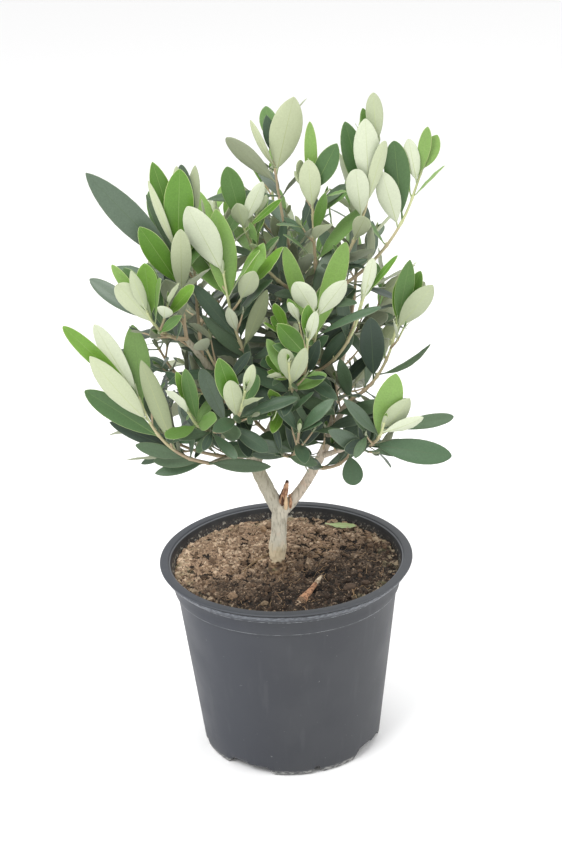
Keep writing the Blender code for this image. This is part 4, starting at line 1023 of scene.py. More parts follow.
def ring_faces(rows):
    """Quads between a leaf's rings, with the first and the last ring closed."""
    faces = [
        (i * RING + k, i * RING + (k + 1) % RING, (i + 1) * RING + (k + 1) % RING, (i + 1) * RING + k)
        for i in range(rows - 1)
        for k in range(RING)
    ]
    return [*faces, tuple(range(RING))[::-1], tuple((rows - 1) * RING + k for k in range(RING))]


def ring_slots(rows, shade):
    """The material of each of those faces, by what part of the leaf it is."""
    return [shade[part] for _ in range(rows - 1) for part in RING_SLOTS] + [shade[UNDER]] * 2


def leaf_pieces(leaves):
    """Every leaf, joined by kind: old and dark, mature, and young with pale undersides."""
    draw = random.Random(SEED + 1)
    looks = {name: leaf_paints(name, *kind) for name, kind in LEAF_KINDS.items()}
    joined = {name: Joined(name, list(paints.values())) for name, paints in looks.items()}
    joined["leaves_old_back"] = Joined("leaves_old_back", joined["leaves_old"].paints)
    for leaf in leaves:
        age = min(1.0, max(0.0, leaf.age + AGE_SCATTER * draw.uniform(-1, 1)))
        name = "leaves_young" if age > YOUNG_FROM else "leaves_mature" if age > MATURE_FROM else "leaves_old"
        order = list(looks[name])
        uppers, unders, *_ = LEAF_KINDS[name]
        shade = {part: order.index((part, 0)) for part in (RIM, RIB, UPPER_RIB)}
        shade[UPPER] = order.index((UPPER, draw.randrange(len(uppers))))
        shade[UNDER] = order.index((UNDER, draw.randrange(len(unders))))
        points, rows = leaf_points(leaf, draw)
        if name == "leaves_old" and leaf.root.y > BACK_FROM:
            name = "leaves_old_back"
        joined[name].add(points, ring_faces(rows), ring_slots(rows, shade))
    return [
        kind.piece("young_leaves" if name == "leaves_young" else "old_leaves")
        for name, kind in joined.items()
    ]


# ---------------------------------------------------------------- stems, twigs and buds

TWIG_SIDES = 9
TWIG_STEP = 1.6
NODE_SWELL = 0.38
NODE_LENGTH = 1.3
STEM_GREENING = 3.2
STEM_SHADES = (srgb(168, 150, 122), srgb(178, 168, 132), srgb(186, 190, 142))
BUD_RADIUS = 0.5
BUD_SIDES = 6
BUD_LENGTHS = (1.8, 2.8)
BUD_SPREAD = math.radians(35)
END_LEAF_WIDTH = 3.2
END_LEAF_LENGTHS = (7, 12)
END_LEAF_SPREAD = math.radians(11)
END_LEAF_FORM = (0.22, 0.5, 0.8)  # curl, cup and how blunt


def stem_mesh(joined, stem, node_shares, age):
    """A stem with a swelling at each pair of leaves, woody at its foot and green at its tip."""
    fine = smoothed(stem, TWIG_STEP)
    shares = shares_along(fine.path)
    length = sum((b - a).length for a, b in zip(fine.path, fine.path[1:]))
    radii = []
    for share, radius in zip(shares, fine.radii):
        swell = sum(math.exp(-(((share - node) * length / NODE_LENGTH) ** 2)) for node in node_shares)
        radii.append(radius * (1 + NODE_SWELL * min(1.0, swell)))
    points, faces = Tube(fine.path, radii).skin(TWIG_SIDES)
    slots = []
    for i in range(len(faces)):
        share = min(1.0, i / TWIG_SIDES / max(1, len(fine.path) - 1))
        slots.append(int(min(2, max(0, STEM_GREENING * age * share - 0.1))))
    joined.add(points, faces, slots)


def bud(joined, root, ahead, length):
    """A small pointed bud."""
    path = [root, root + ahead * length * 0.45, root + ahead * length]
    joined.add(*Tube(path, [BUD_RADIUS * share for share in (0.8, 1, 0.15)]).skin(BUD_SIDES), 2)


def terminal_pair(stem, age, draw):
    """The two small folded leaves that end a shoot."""
    tip, ahead = along(stem.path, 1.0)
    pair = []
    turn = draw.uniform(0, math.pi)
    for half in (0, 1):
        pointing, facing = leaf_frame(ahead, turn + math.pi * half, END_LEAF_SPREAD)
        end = tip + pointing * draw.uniform(*END_LEAF_LENGTHS)
        pair.append(Leaf(tip - ahead * 0.4, end, facing, END_LEAF_WIDTH, *END_LEAF_FORM, age))
    return pair


def twigs_piece(foliage, shoots):
    """Every stem, twig and fine shoot with its buds, as a piece, and the small leaves that end them."""
    paints = [Paint(f"stem_{i}", colour, 0.6).made for i, colour in enumerate(STEM_SHADES)]
    joined = Joined("twigs", paints)
    draw = random.Random(SEED + 2)
    ends = []
    for name, (stems, _) in foliage.items():
        _, _, _, pairs, _, ages, _, _ = MASSES[name]
        nodes = [min(0.2 + 0.8 * i / (pairs - 1), 0.995) for i in range(pairs)]
        stem_mesh(joined, stems[0], nodes, ages[1])
        for node in nodes:
            place, ahead = along(stems[0].path, node)
            for side in (0, 1):
                out, _ = leaf_frame(ahead, draw.uniform(0, math.tau) + math.pi * side, BUD_SPREAD)
                bud(joined, place + out * 0.8, out, draw.uniform(*BUD_LENGTHS))
        for twig in stems[1:]:
            stem_mesh(joined, twig, (0.5, 0.99), ages[1])
        ends += [(stem, max(0.3, ages[1])) for stem in stems]
    for shoot, leaves in shoots:
        age = max(leaf.age for leaf in leaves)
        stem_mesh(joined, shoot, (0.4, 0.99), age)
        ends.append((shoot, max(0.3, age)))
    return joined.piece("bark"), [leaf for stem, age in ends for leaf in terminal_pair(stem, age, draw)]


# ---------------------------------------------------------------- bark

BARK_VOXEL = 0.62
WOOD_SIDES = 20
WOOD_STEP = 1.5
BARK_LUMPS = 0.45
BARK_FURROWS = 0.16
WARTS_FROM = 0.42
WART_HEIGHT = 1.4
COLLAR_TOP = 150.5
COLLAR_BLEND = 1.5
STREAKED_UP = (1, 1, 0.2)
STREAKED_ALONG = (0.5, 0.5, 1)
STUB_SIDES = 12
TORN_LENGTH = 4  # the stub's torn end


def bark_paint():
    """Grey-green, smooth young bark with tan patches, fine furrows, painted shade on the left bough above
    the fork, and an earthy foot.
    """
    paint = Paint("bark_skin", srgb(192, 187, 170), 0.78)
    grain = paint.noise(1.6, 6, (1.0, 1.0, 0.25))
    specks = paint.noise(0.9, 3)
    clumps = paint.noise(3.4, 5)
    height, across = paint.axis("Z"), paint.axis("X")
    paint.coat(srgb(212, 205, 187), (paint.noise(16, 5), 0.36, 0.62))
    # Painted shade: darker on the left side above the fork.
    paint.coat(srgb(158, 152, 130), (height, 0.1950, 0.2250), (across, -0.012, 0.008, 0.75, 0))
    paint.coat(srgb(208, 186, 168), (across, 0.004, 0.014, 0, 0.5))
    paint.coat(srgb(206, 176, 152), (paint.noise(9, 3), 0.60, 0.72, 0, 0.5))
    paint.coat(srgb(134, 126, 108), (grain, 0.48, 0.68, 0, 0.65))
    paint.coat(srgb(228, 222, 204), (specks, 0.62, 0.74, 0, 0.6))
    level = paint.add(height, paint.times(paint.add(clumps, -0.5), 0.014))
    paint.coat(srgb(220, 198, 156), (level, 0.1560, 0.1680, 0.55, 0))
    earth = paint.mix(paint.between(clumps, 0.4, 0.62), srgb(78, 62, 47), srgb(146, 120, 92))
    mossy = paint.between(paint.noise(5, 2), 0.58, 0.66, 0, 0.6)
    paint.coat(paint.mix(mossy, earth, srgb(122, 118, 84)), (level, 0.1490, 0.1520, 1, 0))
    paint.bump((grain, 0.35), (specks, 0.12))
    return paint.made


def bark_lift(point):
    """How far the bark stands out here: broad lumps, furrows along the wood, and a knotty root collar."""
    lumps = noise.noise(point * 0.13) + 0.5 * noise.noise(point * 0.31)
    furrows = noise.noise(Vector((point.x * 1.1, point.y * 1.1, point.z * 0.22)))
    lift = BARK_LUMPS * lumps - BARK_FURROWS * abs(furrows)
    lift += WART_HEIGHT * max(0.0, noise.noise(point * 0.62) - WARTS_FROM)
    if point.z < COLLAR_TOP:
        depth = min(1.0, (COLLAR_TOP - point.z) / COLLAR_BLEND)
        lift += depth * (2.2 * noise.noise(point * 0.30) + 1.0 * noise.noise(point * 0.75) - 0.2)
    return lift


def bark_piece(wood):
    """The trunk and its limbs fused in one skin, with the bark's relief in the mesh."""
    joined = Joined("trunk_and_limbs", [bark_paint()])
    for name, tube in wood.items():
        if name != "pruned_stub":
            joined.add(*smoothed(tube, WOOD_STEP).skin(WOOD_SIDES), 0)
    piece = joined.piece("bark")
    fuse = piece.modifiers.new("Fuse", "REMESH")
    fuse.mode = "VOXEL"
    fuse.voxel_size = BARK_VOXEL * MM
    soften = piece.modifiers.new("Soften", "SMOOTH")
    soften.factor = 0.5
    soften.iterations = 5
    bpy.context.view_layer.update()
    mesh = bpy.data.meshes.new_from_object(piece.evaluated_get(bpy.context.evaluated_depsgraph_get()))
    piece.modifiers.clear()
    piece.data = mesh
    normals = [vert.normal.copy() for vert in mesh.vertices]
    for vert, normal in zip(mesh.vertices, normals):
        vert.co += normal * bark_lift(vert.co / MM) * MM
    mesh.shade_smooth()
    mesh.materials.clear()
    mesh.materials.append(joined.paints[0])
    return piece


# Splinters that stand in the fork by the stub: places, radii, and shade (fresh, dead, pale).
SLIVERS = (
    (((1.2, -10.2, 193.5), (1.4, -10.8, 199), (1.9, -9.8, 204.5)), (1.1, 1.5, 0.5), 2),
    (((4.6, -9.4, 194), (4.9, -9.8, 198.5), (5.0, -8.8, 203)), (0.8, 1.2, 0.4), 0),
    (((-1.4, -9.2, 196), (-1.2, -9.7, 200), (-0.8, -9.0, 203.5)), (0.6, 0.9, 0.3), 1),
    (((3.6, -7.8, 203), (4.6, -8.0, 204.3), (5.8, -8.2, 204.6)), (0.9, 0.6, 0.2), 0),
)


def stub_piece(wood):
    """The pruned stub in the fork: torn, dry wood, dark at its cut end, with slivers beside it."""
    streaks = (1.2, 5, STREAKED_UP)
    joined = Joined("stub", [
        mottled("torn_wood", 0.75, 0.3, streaks, srgb(204, 160, 126), srgb(126, 84, 62), 0.4, 0.65),
        mottled("dead_bark", 0.85, 0.25, (0.9, 4), srgb(86, 60, 46)),
        mottled("pale_wood", 0.7, 0.2, (1.1, 4, STREAKED_UP), srgb(226, 196, 158)),
    ])
    tube = smoothed(wood["pruned_stub"], 0.9)
    points, faces = tube.skin(STUB_SIDES)
    top = max(p.z for p in points)
    torn = []
    for point in points:
        rough = noise.noise(point * 0.9) * 0.5
        height = max(0.0, (point.z - (top - TORN_LENGTH)) / TORN_LENGTH)
        torn.append(point + Vector((rough, rough * 0.6, 1.6 * height * noise.noise(point * 1.4))))
    rows = len(tube.path) - 1
    slots = []
    for i, face in enumerate(faces):
        row = i // STUB_SIDES
        middle = sum((points[k] for k in face), Vector()) / len(face)
        out = middle - tube.path[min(row, rows)]
        slots.append(1 if row >= rows - 1 or out.x < -0.6 * out.length else 0)
    joined.add(torn, faces, slots)
    for sliver, radii, shade in SLIVERS:
        joined.add(*smoothed(Tube([Vector(place) for place in sliver], radii), 0.8).skin(8), shade)
    return joined.piece("bark")


# ---------------------------------------------------------------- soil

SOIL_GRID = 300
SOIL_EDGE_RADIUS = 84.4
CLOD_SIZES = ((10.0, 1.8), (4.8, 2.9), (2.4, 1.7))  # across, and depth
CLOD_SHARP = 1.4
CRUMBS = 2600
SMALL_CRUMB = 0.62  # a crumb under this radius is a plainer ball
CRUMB_REACH = 82.0
CLODS = 120
CLOD_RADII = (1.5, 2.9)
MIDDLE_SHADE = 1.8
SHADE_STEP = 32  # how far back the next paler shade of crumb is the usual one: painted light towards the back, painted shade towards the front
SHADE_SCATTER = 0.8
FIBRES = 110
FIBRE_REACH = 76.0
FIBRE_RADII = (0.22, 0.2, 0.18, 0.16, 0.13, 0.1)
FIBRE_STEP = 1.9
# Hollows by the trunk: place, radius and depth.
HOLES = (((18, -14), 4.5, 6.0), ((12, -3), 3.5, 3.0), ((26, -8), 3.5, 2.5))
# Faces deeper than CREVICE below the soil's solid take painted shade, and faces higher than CREST take
# painted light.
CREVICE = -0.7
CREST = 0.7
TRUNK_CLEAR = 9
CRUMB_SHADES = (
    srgb(56, 43, 33), srgb(78, 61, 47), srgb(106, 85, 67), srgb(138, 114, 92), srgb(172, 148, 123),
)
STONE_SHADES = (srgb(164, 136, 106), srgb(140, 116, 92), srgb(122, 104, 82), srgb(78, 62, 49))
# The stones and clods that stand out: place, radius, squash of the height, and shade.
STONES = (
    ((-17, 62), 4.0, 0.9, 0), ((-12, 70), 3.6, 0.9, 1), ((-40, -47), 3.8, 0.8, 1),
    ((-17, -60), 4.2, 0.6, 2), ((46, -40), 4.6, 0.85, 3), ((58, -34), 3.4, 0.85, 3),
)
# The surface root: each place, its height over the soil, and its radius.
ROOT = (
    (-10, 25, 0.8, 1.0), (-14, 21, 1.0, 1.0), (-19, 16, 0.8, 0.9), (-25, 9, 1.1, 0.85),
    (-31, 0, 0.4, 0.7), (-35, -8, -1.0, 0.4),
)


def soil_lift(x, y):
    """How far the soil stands over its solid here: clods of several sizes with crevices between them."""
    place = Vector((x, y, 0))
    warp = Vector((noise.noise(place * 0.15), noise.noise(place * 0.15 + Vector((9, 0, 0))), 0)) * 3
    warp += Vector((noise.noise(place * 0.6), noise.noise(place * 0.6 + Vector((5, 0, 0))), 0)) * 0.9
    lift = 0.0
    for size, depth in CLOD_SIZES:
        near = noise.voronoi((place + warp) / size)[0][0]
        lift += depth * (0.42 - near**CLOD_SHARP)
    return lift + 0.4 * noise.noise(place * 0.9) + 0.2 * noise.noise(place * 2.2)


def soil_top(x, y):
    """The soil's real surface: the solid's, with its clods, and the hollows by the trunk."""
    holes = 0.0
    for (across, back), radius, depth in HOLES:
        holes += depth * math.exp(-((x - across) ** 2 + (y - back) ** 2) / radius**2)
    return soil_height(x, y) + soil_lift(x, y) - holes


def soil_paint(name, in_shade, in_light):
    """Crumbly brown potting soil: painted shade towards the front and right and in its fine hollows, painted
    light on its fine bumps; mossy and crusted by the pot's wall.
    """
    paint = Paint(name, in_shade, 0.95)
    fine = paint.noise(1.7, 8)
    tiny = paint.noise(0.7, 3)
    light_and_tone = paint.add(paint.axis("Y"), paint.times(paint.axis("X"), -0.5))
    light_and_tone = paint.add(light_and_tone, paint.times(paint.add(paint.noise(20, 4), -0.5), 0.14))
    # Painted shade: the soil darkens towards the front and the right, and is lighter towards the back and
    # the left.
    paint.coat(in_light, (light_and_tone, -0.036, 0.042))
    # Painted shade in the hollows of the fine relief, and painted light on its bumps.
    paint.coat(shaded(in_shade, 0.35), (fine, 0.34, 0.50, 0.8, 0))
    paint.coat(shaded(in_light, 1.6), (fine, 0.56, 0.72, 0, 0.5))
    paint.coat(srgb(206, 184, 156), (tiny, 0.68, 0.76, 0, 0.6))
    flat = paint.node("VectorMath", {0: paint.place(), 1: (1, 1, 0)}, operation="MULTIPLY").outputs[0]
    radius = paint.node("VectorMath", {0: flat}, operation="LENGTH").outputs["Value"]
    edge = paint.between(radius, 0.066, 0.082)
    paint.coat(srgb(138, 134, 100), edge, (paint.noise(9, 4), 0.50, 0.66, 0, 0.45))
    paint.coat(srgb(188, 170, 142), edge, (paint.noise(5, 6), 0.52, 0.62, 0, 0.6))
    paint.bump((fine, 0.9), (tiny, 0.3))
    return paint.made


def soil_piece():
    """The soil's surface as one fine sheet across the pot: painted shade in its crevices, painted light on
    its crests.
    """
    joined = Joined("soil_surface", (
        soil_paint("soil_crevice_shade", srgb(14, 11, 9), srgb(42, 33, 26)),
        soil_paint("soil_earth", srgb(42, 33, 25), srgb(160, 134, 110)),
        soil_paint("soil_crest_light", srgb(68, 54, 42), srgb(206, 181, 154)),
    ))
    points = []
    for j in range(SOIL_GRID + 1):
        for i in range(SOIL_GRID + 1):
            u, v = 2 * i / SOIL_GRID - 1, 2 * j / SOIL_GRID - 1
            x = SOIL_EDGE_RADIUS * u * math.sqrt(1 - v * v / 2)
            y = SOIL_EDGE_RADIUS * v * math.sqrt(1 - u * u / 2)
            points.append(Vector((x, y, soil_top(x, y))))
    across = SOIL_GRID + 1
    faces, slots = [], []
    for j in range(SOIL_GRID):
        for i in range(SOIL_GRID):
            first = j * across + i
            face = (first, first + 1, first + across + 1, first + across)
            middle = sum((points[k] for k in face), Vector()) / 4
            lift = middle.z - soil_height(middle.x, middle.y)
            faces.append(face)
            # Painted shade in the crevices, painted light on the crests.
            slots.append(0 if lift < CREVICE else 2 if lift > CREST else 1)
    joined.add(points, faces, slots)
    return joined.piece("soil")


def ball(detail):
    """Points and faces of a ball of radius 1, to make a crumb of."""
    made = bmesh.new()
    bmesh.ops.create_icosphere(made, subdivisions=detail, radius=1)
    points = [vert.co.copy() for vert in made.verts]
    faces = [tuple(vert.index for vert in face.verts) for face in made.faces]
    made.free()
    return points, faces


def broken(points, draw, roughness=0.7):
    """A ball's points made into an uneven crumb, squashed and turned at random."""
    offset = Vector([draw.uniform(0, 99) for _ in range(3)])
    turn = Matrix.Rotation(draw.uniform(0, math.tau), 3, Vector([draw.uniform(-1, 1) for _ in range(3)]))
    squash = Vector([draw.uniform(0.5, 1.15) for _ in range(3)])
    made = []
    for point in points:
        uneven = noise.noise(point * 1.1 + offset) + 0.6 * noise.noise(point * 2.7 + offset)
        made.append(turn @ (point * (1 + roughness * uneven) * squash))
    return made


def in_pot(draw, radius):
    """A random place on the soil within this radius, clear of the trunk's foot."""
    while True:
        x, y = draw.uniform(-radius, radius), draw.uniform(-radius, radius)
        if math.hypot(x, y) < radius and math.hypot(x - TRUNK_FOOT.x, y - TRUNK_FOOT.y) > TRUNK_CLEAR:
            return x, y


def crumbs_piece():
    """Loose crumbs and clods on the soil, with fine dead roots among them."""
    paints = [
        mottled(f"crumb_{i}", 0.95, 0.5, (0.9, 6), colour, shaded(colour, 0.55))
        for i, colour in enumerate(CRUMB_SHADES)
    ]
    joined = Joined("soil_crumbs", [*paints, Paint("root_fibre", srgb(156, 128, 95), 0.8).made])
    draw = random.Random(SEED + 3)
    tiny, small, large = ball(1), ball(2), ball(3)
    for i in range(CRUMBS + CLODS):
        clod = i >= CRUMBS
        radius = draw.uniform(*CLOD_RADII) if clod else 0.4 + 0.9 * draw.random() ** 2
        x, y = in_pot(draw, CRUMB_REACH - radius)
        points, faces = large if clod else small if radius > SMALL_CRUMB else tiny
        rest = Vector((x, y, soil_top(x, y) + radius * draw.uniform(-0.25, 0.3)))
        uneven = broken(points, draw)
        # Painted light: crumbs further back and to the left take paler shades, and painted shade darkens
        # those at the front, with scatter in their own tone.
        light_and_tone = MIDDLE_SHADE + (y - 0.45 * x) / SHADE_STEP + draw.gauss(0, SHADE_SCATTER)
        shade = max(0, min(len(CRUMB_SHADES) - 1, round(light_and_tone)))
        joined.add([rest + point * radius for point in uneven], faces, shade)
    for _ in range(FIBRES):
        x, y = in_pot(draw, FIBRE_REACH)
        way = draw.uniform(0, math.tau)
        path = []
        for _ in FIBRE_RADII:
            path.append(Vector((x, y, soil_top(x, y) + draw.uniform(0.2, 1.1))))
            way += draw.uniform(-0.5, 0.5)
            x += FIBRE_STEP * math.cos(way)
            y += FIBRE_STEP * math.sin(way)
        joined.add(*smoothed(Tube(path, FIBRE_RADII), 0.9).skin(4), len(CRUMB_SHADES))
    return joined.piece("soil")


def stones_piece():
    """A few rounded stones and hard clods half sunk in the soil."""
    joined = Joined("stones", [
        mottled(f"stone_{i}", 0.85, 0.5, (2.0, 6), colour, shaded(colour, 0.6), high=0.66)
        for i, colour in enumerate(STONE_SHADES)
    ])
    draw = random.Random(SEED + 4)
    points, faces = ball(4)
    for (x, y), radius, squash, shade in STONES:
        rest = Vector((x, y, soil_top(x, y) + radius * 0.35))
        flat = Vector((radius, radius, radius * squash))
        joined.add([rest + p * flat for p in broken(points, draw, 0.25)], faces, shade)
    return joined.piece("soil")


def root_piece():
    """The thin root that lies on the soil behind the trunk's foot and dips into it on the left."""
    path = [Vector((x, y, soil_height(x, y) + lift)) for x, y, lift, _ in ROOT]
    joined = Joined("surface_root", [mottled("root_skin", 0.85, 0.3, (1.0, 5), srgb(138, 116, 88))])
    joined.add(*smoothed(Tube(path, [radius for *_, radius in ROOT]), 1.0).skin(10), 0)
    return joined.piece("bark")


CHIP_SKIN_SIDES = 14
CHIP_POINT_FROM = 0.86


def chip_piece():
    """The broken wood chip that leans on the soil: bark outside, raw orange wood at its upper end."""
    raw, tip = (1.3, 5, STREAKED_ALONG), (1.1, 4, STREAKED_ALONG)
    joined = Joined("chip", [
        mottled("chip_bark", 0.9, 0.5, (1.6, 6), srgb(120, 96, 74), srgb(72, 55, 42)),
        mottled("raw_wood", 0.8, 0.4, raw, srgb(178, 134, 102), srgb(110, 78, 58)),
        mottled("chip_tip", 0.8, 0.3, tip, srgb(204, 188, 164), srgb(146, 126, 102), 0.4, 0.6),
    ])
    tube = smoothed(WOOD_CHIP, 1.0)
    radii = [
        radius * (1.0 + 0.12 * math.sin(9 * share)) * (1 - 2.6 * max(0.0, share - CHIP_POINT_FROM))
        for radius, share in zip(tube.radii, shares_along(tube.path))
    ]
    points, faces = Tube(tube.path, radii).skin(CHIP_SKIN_SIDES)
    uneven = [point + Vector((1, 0.4, 1)) * 0.45 * noise.noise(point * 0.7) for point in points]
    slots = []
    for i in range(len(faces)):
        row, column = divmod(i, CHIP_SKIN_SIDES)
        share = row / len(tube.path)
        slots.append(0 if share < 0.12 or column in (4, 5) else 1 if share < 0.66 else 2)
    joined.add(uneven, faces, slots)
    return joined.piece("chip_wood")


def fallen_leaf_piece():
    """The pale leaf that lies on the soil at the back of the pot."""
    upper = Paint("fallen_upper", srgb(150, 168, 112), 0.55).made
    under = Paint("fallen_under", srgb(168, 186, 134), 0.6).made
    rim = Paint("fallen_rim", srgb(196, 206, 160), 0.55).made
    joined = Joined("fallen", [under, upper, rim])
    points, rows = leaf_points(FALLEN_LEAF, random.Random(SEED + 5))
    shade = {UNDER: 0, UPPER: 1, RIM: 2, RIB: 2, UPPER_RIB: 2}
    joined.add(points, ring_faces(rows), ring_slots(rows, shade))
    return joined.piece("dry_leaf")


# ---------------------------------------------------------------- pot

POT_TURNS = 480
FOOT_SLOPE_DEG = 4.3
NOTCH_SLOPE_DEG = 2.2
NOTCH_SHARE = 0.85  # of the feet's height
FOOT_BEVEL = 2.6
INSIDE_ROWS = 10
SHARP_EDGE = math.radians(40)

# The pot's section from the lip's inner edge over its rolled top to the flare under it: how far in
# from the rim, and how far under the top.
LIP_INSIDE = (
    (8.8, 5.4), (8.1, 2.8), (7.8, 1.5), (7.3, 1.1), (6.85, 1.1), (6.65, 0.5), (6.3, 0.1), (5.7, 0),
)
LIP_OUTSIDE = (
    (1.6, 0), (0.7, 0.1), (0.2, 0.35), (0, 0.8), (0.1, 1.2), (0.5, 1.5), (1.8, 1.8), (2.1, 2.4),
    (1.9, 3.0), (1.9, 3.8), (2.6, 5.2), (3.9, 6.6), (5.6, 8.0), (7.0, 9.2),
)
# Then how far out from the shoulder, and how far under the top, and down the shoulder by height.
FLARE = ((1.7, 10.2), (1.1, 10.9), (0.3, 11.3), (0, 12.2))
SHOULDER = ((0, 134), (0, 130.4), (-0.25, 129.7), (-0.9, 129.35), (-1.5, 129.25), (-2.0, 128.8))


def foot_away(azimuth_deg):
    """The angle from the middle of the nearest pair of feet, at an azimuth that runs from the front
    to the right, and half of the angle from one pair to the next."""
    half = 180 / FOOT_PAIRS
    return (azimuth_deg - FOOT_PAIR_MIDDLE_DEG + half) % (2 * half) - half, half


def foot_lift(azimuth_deg):
    """How far the pot's lower edge stands off the floor: between the pairs, and in each pair's notch."""
    away = abs(foot_away(azimuth_deg)[0])
    outside = (away - FOOT_PAIR_SPAN_DEG / 2 + FOOT_SLOPE_DEG) / FOOT_SLOPE_DEG
    notch = ((NOTCH_DEG + NOTCH_SLOPE_DEG) / 2 - away) / NOTCH_SLOPE_DEG
    outside, notch = (min(1.0, max(0.0, share)) for share in (outside, notch))
    return FOOT_HEIGHT * max(outside, NOTCH_SHARE * notch)


def bevel_height(azimuth_deg):
    """The worn bevel under the wall's outer edge, higher towards one end of each foot."""
    away, half = foot_away(azimuth_deg)
    return 0.9 + FOOT_BEVEL * (0.5 + 0.5 * away / half) ** 1.5


def pot_column(azimuth_deg):
    """The pot's section here, as (radius, height) from its floor's middle up, over the lip and down."""
    shoulder = WALL_TOP_RADIUS + SHOULDER_STEP
    rim, top = RIM_RADIUS, POT_HEIGHT
    inside = shoulder - WALL
    column = [
        (0, FLOOR_TOP), (wall_radius(FLOOR_TOP) - WALL, FLOOR_TOP),
        (wall_radius(SHOULDER_HEIGHT) - WALL, SHOULDER_HEIGHT - 1), (inside, SHOULDER_HEIGHT + 1),
        (inside + 0.2, 136), (inside + 0.4, 139.6), (inside + 0.9, 141.0),
    ]
    column += [(rim - inward, top - down) for inward, down in LIP_INSIDE + LIP_OUTSIDE]
    column += [(shoulder + out, top - down) for out, down in FLARE]
    column += [(shoulder + out, z) for out, z in SHOULDER]
    column += [(wall_radius(z), z) for z in np.linspace(127, 14, 24)]
    lift = foot_lift(azimuth_deg)
    bevel = bevel_height(azimuth_deg)
    edge = wall_radius(lift + bevel)
    ring = FOOT_RING_INNER
    return column + [
        (edge, lift + bevel), (edge - 0.3, lift + bevel * 0.75),
        (BASE_RADIUS - 1.1, lift + 0.25), (BASE_RADIUS - 1.7, lift),
        (ring + 0.8, lift), (ring, min(lift + 0.8, FOOT_HEIGHT)), (ring - 1.6, FOOT_HEIGHT),
        (BOSS_RADIUS + 2, FOOT_HEIGHT), (BOSS_RADIUS, 0.5), (BOSS_RADIUS - 0.5, 0), (0, 0),
    ]


def pot_paint():
    """Matt slate-grey moulded plastic, dusty under the lip, scuffed at its edges and feet, with painted
    shadow in the groove under the lip's edge and painted light on the lip's top.
    """
    paint = Paint("pot_plastic_skin", srgb(50, 52, 57), 0.5, Specular_IOR_Level=0.4)
    cloudy = paint.noise(34, 4)
    streaks = paint.noise(7, 4, (1, 1, 0.12))
    scuff = paint.noise(3.2, 8, (1, 1, 3.0))
    top = POT_HEIGHT
    paint.coat(srgb(57, 59, 63), (cloudy, 0.35, 0.65))
    paint.coat(srgb(50, 54, 64), (paint.axis("X"), -0.070, 0.010, 0.7, 0))
    paint.coat(srgb(76, 78, 81), (streaks, 0.55, 0.75, 0, 0.25))
    # Painted shadow in the groove under the lip's edge.
    paint.coat(srgb(24, 25, 28), paint.band(top - 2.9, top - 1.5, 0.2), 0.85)
    ridge = paint.band(top - 11.2, top - 10.3, 0.2)
    ridge_dust = paint.coat(srgb(172, 176, 180), ridge, (scuff, 0.42, 0.62, 0.05, 0.85))
    paint.coat(srgb(132, 137, 144), paint.band(top - 7.6, top - 3.6, 1.0), (scuff, 0.38, 0.66, 0.1, 0.65))
    paint.coat(srgb(176, 180, 182), paint.band(129.1, 129.75, 0.25), (streaks, 0.36, 0.6, 0.15, 0.8))
    # Painted light on the lip's top.
    paint.coat(srgb(76, 79, 83), paint.band(top - 1.2, top + 1, 0.3), 0.35)
    foot_dust = paint.coat(srgb(164, 164, 160), paint.band(-2, 3.0, 2.0), (scuff, 0.40, 0.62, 0.1, 0.85))
    paint.coat(srgb(140, 142, 140), (paint.noise(2.4, 2), 0.73, 0.78, 0, 0.4))
    worn = paint.times(paint.add(ridge_dust, foot_dust), 0.25)
    paint.feed(paint.inputs["Roughness"], paint.add(paint.between(cloudy, 0.3, 0.7, 0.44, 0.56), worn))
    paint.bump((cloudy, 0.25), (paint.noise(0.55, 3), 0.02), (scuff, 0.04))
    return paint.made


def pot_inner_paint():
    """The pot's inside above the soil: its plastic darkened with painted shade, painted light on the lip's
    top, and soil and dried mineral marks on it.
    """
    # Painted shade: the inside is a darker copy of the pot's plastic.
    paint = Paint("pot_inside_skin", srgb(30, 31, 34), 0.55)
    marks = paint.noise(2.6, 9)
    dust = paint.noise(14, 4)
    paint.coat(srgb(62, 63, 64), (dust, 0.42, 0.66, 0, 0.5))
    # Painted light on the lip's top.
    paint.coat(srgb(96, 99, 104), paint.band(POT_HEIGHT - 1.4, POT_HEIGHT + 1, 0.3))
    dirty = paint.times(paint.band(136, 144.5, 2.5), paint.between(dust, 0.36, 0.60, 0.25, 1))
    paint.coat(srgb(98, 88, 76), dirty, (paint.noise(1.1, 6), 0.44, 0.62, 0, 0.7))
    paint.coat(srgb(176, 172, 160), dirty, (marks, 0.54, 0.64, 0, 0.9))
    paint.feed(paint.inputs["Roughness"], paint.between(dust, 0.3, 0.7, 0.5, 0.7))
    paint.bump((marks, 0.15))
    return paint.made


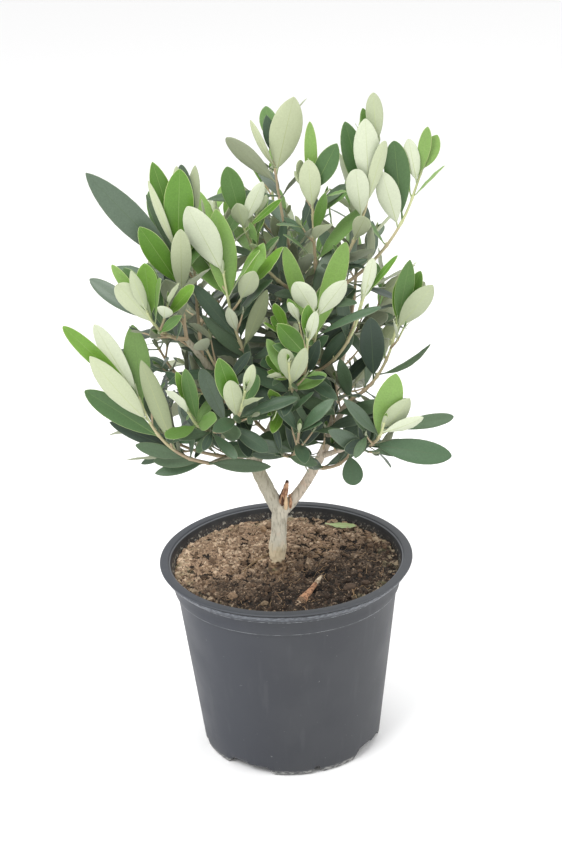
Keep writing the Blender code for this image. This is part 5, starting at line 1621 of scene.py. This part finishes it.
def pot_piece():
    """The nursery pot in one closed skin, with its rolled lip, shoulder step and four pairs of feet."""
    joined = Joined("nursery_pot", [pot_paint(), pot_inner_paint()])
    columns = []
    for k in range(POT_TURNS):
        azimuth_deg = 360 * k / POT_TURNS
        turn = math.radians(azimuth_deg - 90)
        out = Vector((math.cos(turn), math.sin(turn), 0))
        columns.append([out * radius + UP * z for radius, z in pot_column(azimuth_deg)])
    points = [columns[0][0], *(point for column in columns for point in column[1:-1]), columns[0][-1]]
    inner = len(columns[0]) - 2
    faces, slots = [], []
    for k in range(POT_TURNS):
        this, after = 1 + k * inner, 1 + (k + 1) % POT_TURNS * inner
        faces.append((0, this, after))
        faces += [(this + i, this + i + 1, after + i + 1, after + i) for i in range(inner - 1)]
        faces.append((this + inner - 1, len(points) - 1, after + inner - 1))
        slots += [1] * (INSIDE_ROWS + 1) + [0] * (inner - INSIDE_ROWS)
    joined.add(points, faces, slots)
    piece = joined.piece("pot_plastic")
    shell = bmesh.new()
    shell.from_mesh(piece.data)
    bmesh.ops.recalc_face_normals(shell, faces=shell.faces)
    shell.to_mesh(piece.data)
    shell.free()
    piece.data.shade_smooth()
    piece.data.set_sharp_from_angle(angle=SHARP_EDGE)
    return piece


# ---------------------------------------------------------------- the stage

CAMERA_PLACE = (0, -1.1603, 0.7363)
CAMERA_PITCH_DEG = 22.41
CAMERA_ROLL_DEG = -2.186
CAMERA_LENS = 73.19
SENSOR_HEIGHT = 36.0
FLOOR_HALF = 4.0
# Each softbox: where it stands, the height of what it looks at, its size in metres and its watts.
SOFTBOXES = {
    "key": ((-0.8, -1.0, 1.7), 0.25, 0.8, 24),
    "fill": ((1.3, -0.7, 0.9), 0.25, 1.0, 5),
    "top": ((0.2, 0.5, 1.9), 0.3, 1.0, 12),
}


def camera():
    """A long lens from a little above, at the photograph's place."""
    data = bpy.data.cameras.new("camera")
    data.sensor_fit = "VERTICAL"
    data.sensor_height = SENSOR_HEIGHT
    data.lens = CAMERA_LENS
    data.clip_start = 0.05
    made = linked("camera", data)
    look = Matrix.Rotation(math.radians(90 - CAMERA_PITCH_DEG), 4, "X")
    roll = Matrix.Rotation(math.radians(CAMERA_ROLL_DEG), 4, "Z")
    made.matrix_world = Matrix.Translation(CAMERA_PLACE) @ look @ roll
    bpy.context.scene.camera = made


def stage():
    """A plain white floor in a bright, even studio with three square softboxes."""
    mesh = bpy.data.meshes.new("floor")
    corners = [(x * FLOOR_HALF, y * FLOOR_HALF, 0) for x, y in ((-1, -1), (1, -1), (1, 1), (-1, 1))]
    mesh.from_pydata(corners, [], [(0, 1, 2, 3)])
    mesh.materials.append(Paint("floor_white", (0.93, 0.93, 0.93), 0.9).made)
    floor = linked("floor", mesh)
    world = bpy.data.worlds.new("studio")
    world.use_nodes = True
    world.node_tree.nodes["Background"].inputs["Color"].default_value = (1, 1, 1, 1)
    world.node_tree.nodes["Background"].inputs["Strength"].default_value = 1.0
    bpy.context.scene.world = world
    bpy.context.scene.view_settings.view_transform = "Standard"
    for name, (place, aim, size, watts) in SOFTBOXES.items():
        data = bpy.data.lights.new(name, "AREA")
        data.size = size
        data.energy = watts
        made = linked(name, data)
        made.location = place
        made.rotation_euler = (UP * aim - Vector(place)).to_track_quat("-Z", "Y").to_euler()


# ---------------------------------------------------------------- the whole plant

def main():
    wood = grow_wood()
    foliage, space = grow_foliage(wood)
    shoots = grow_fine(wood, foliage, space)
    leaves = [leaf for _, grown in foliage.values() for leaf in grown]
    leaves += [leaf for _, grown in shoots for leaf in grown]
    twigs, ends = twigs_piece(foliage, shoots)
    for piece in (twigs, *leaf_pieces(leaves + ends)):
        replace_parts(piece, *MASSES)
    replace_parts(bark_piece(wood), *(name for name in wood if name != "pruned_stub"))
    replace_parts(stub_piece(wood), "pruned_stub")
    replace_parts(pot_piece(), "pot")
    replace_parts(soil_piece(), "soil")
    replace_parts(chip_piece(), "wood_chip")
    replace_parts(fallen_leaf_piece(), "fallen_leaf")
    crumbs_piece()
    stones_piece()
    root_piece()


main()
camera()
stage()
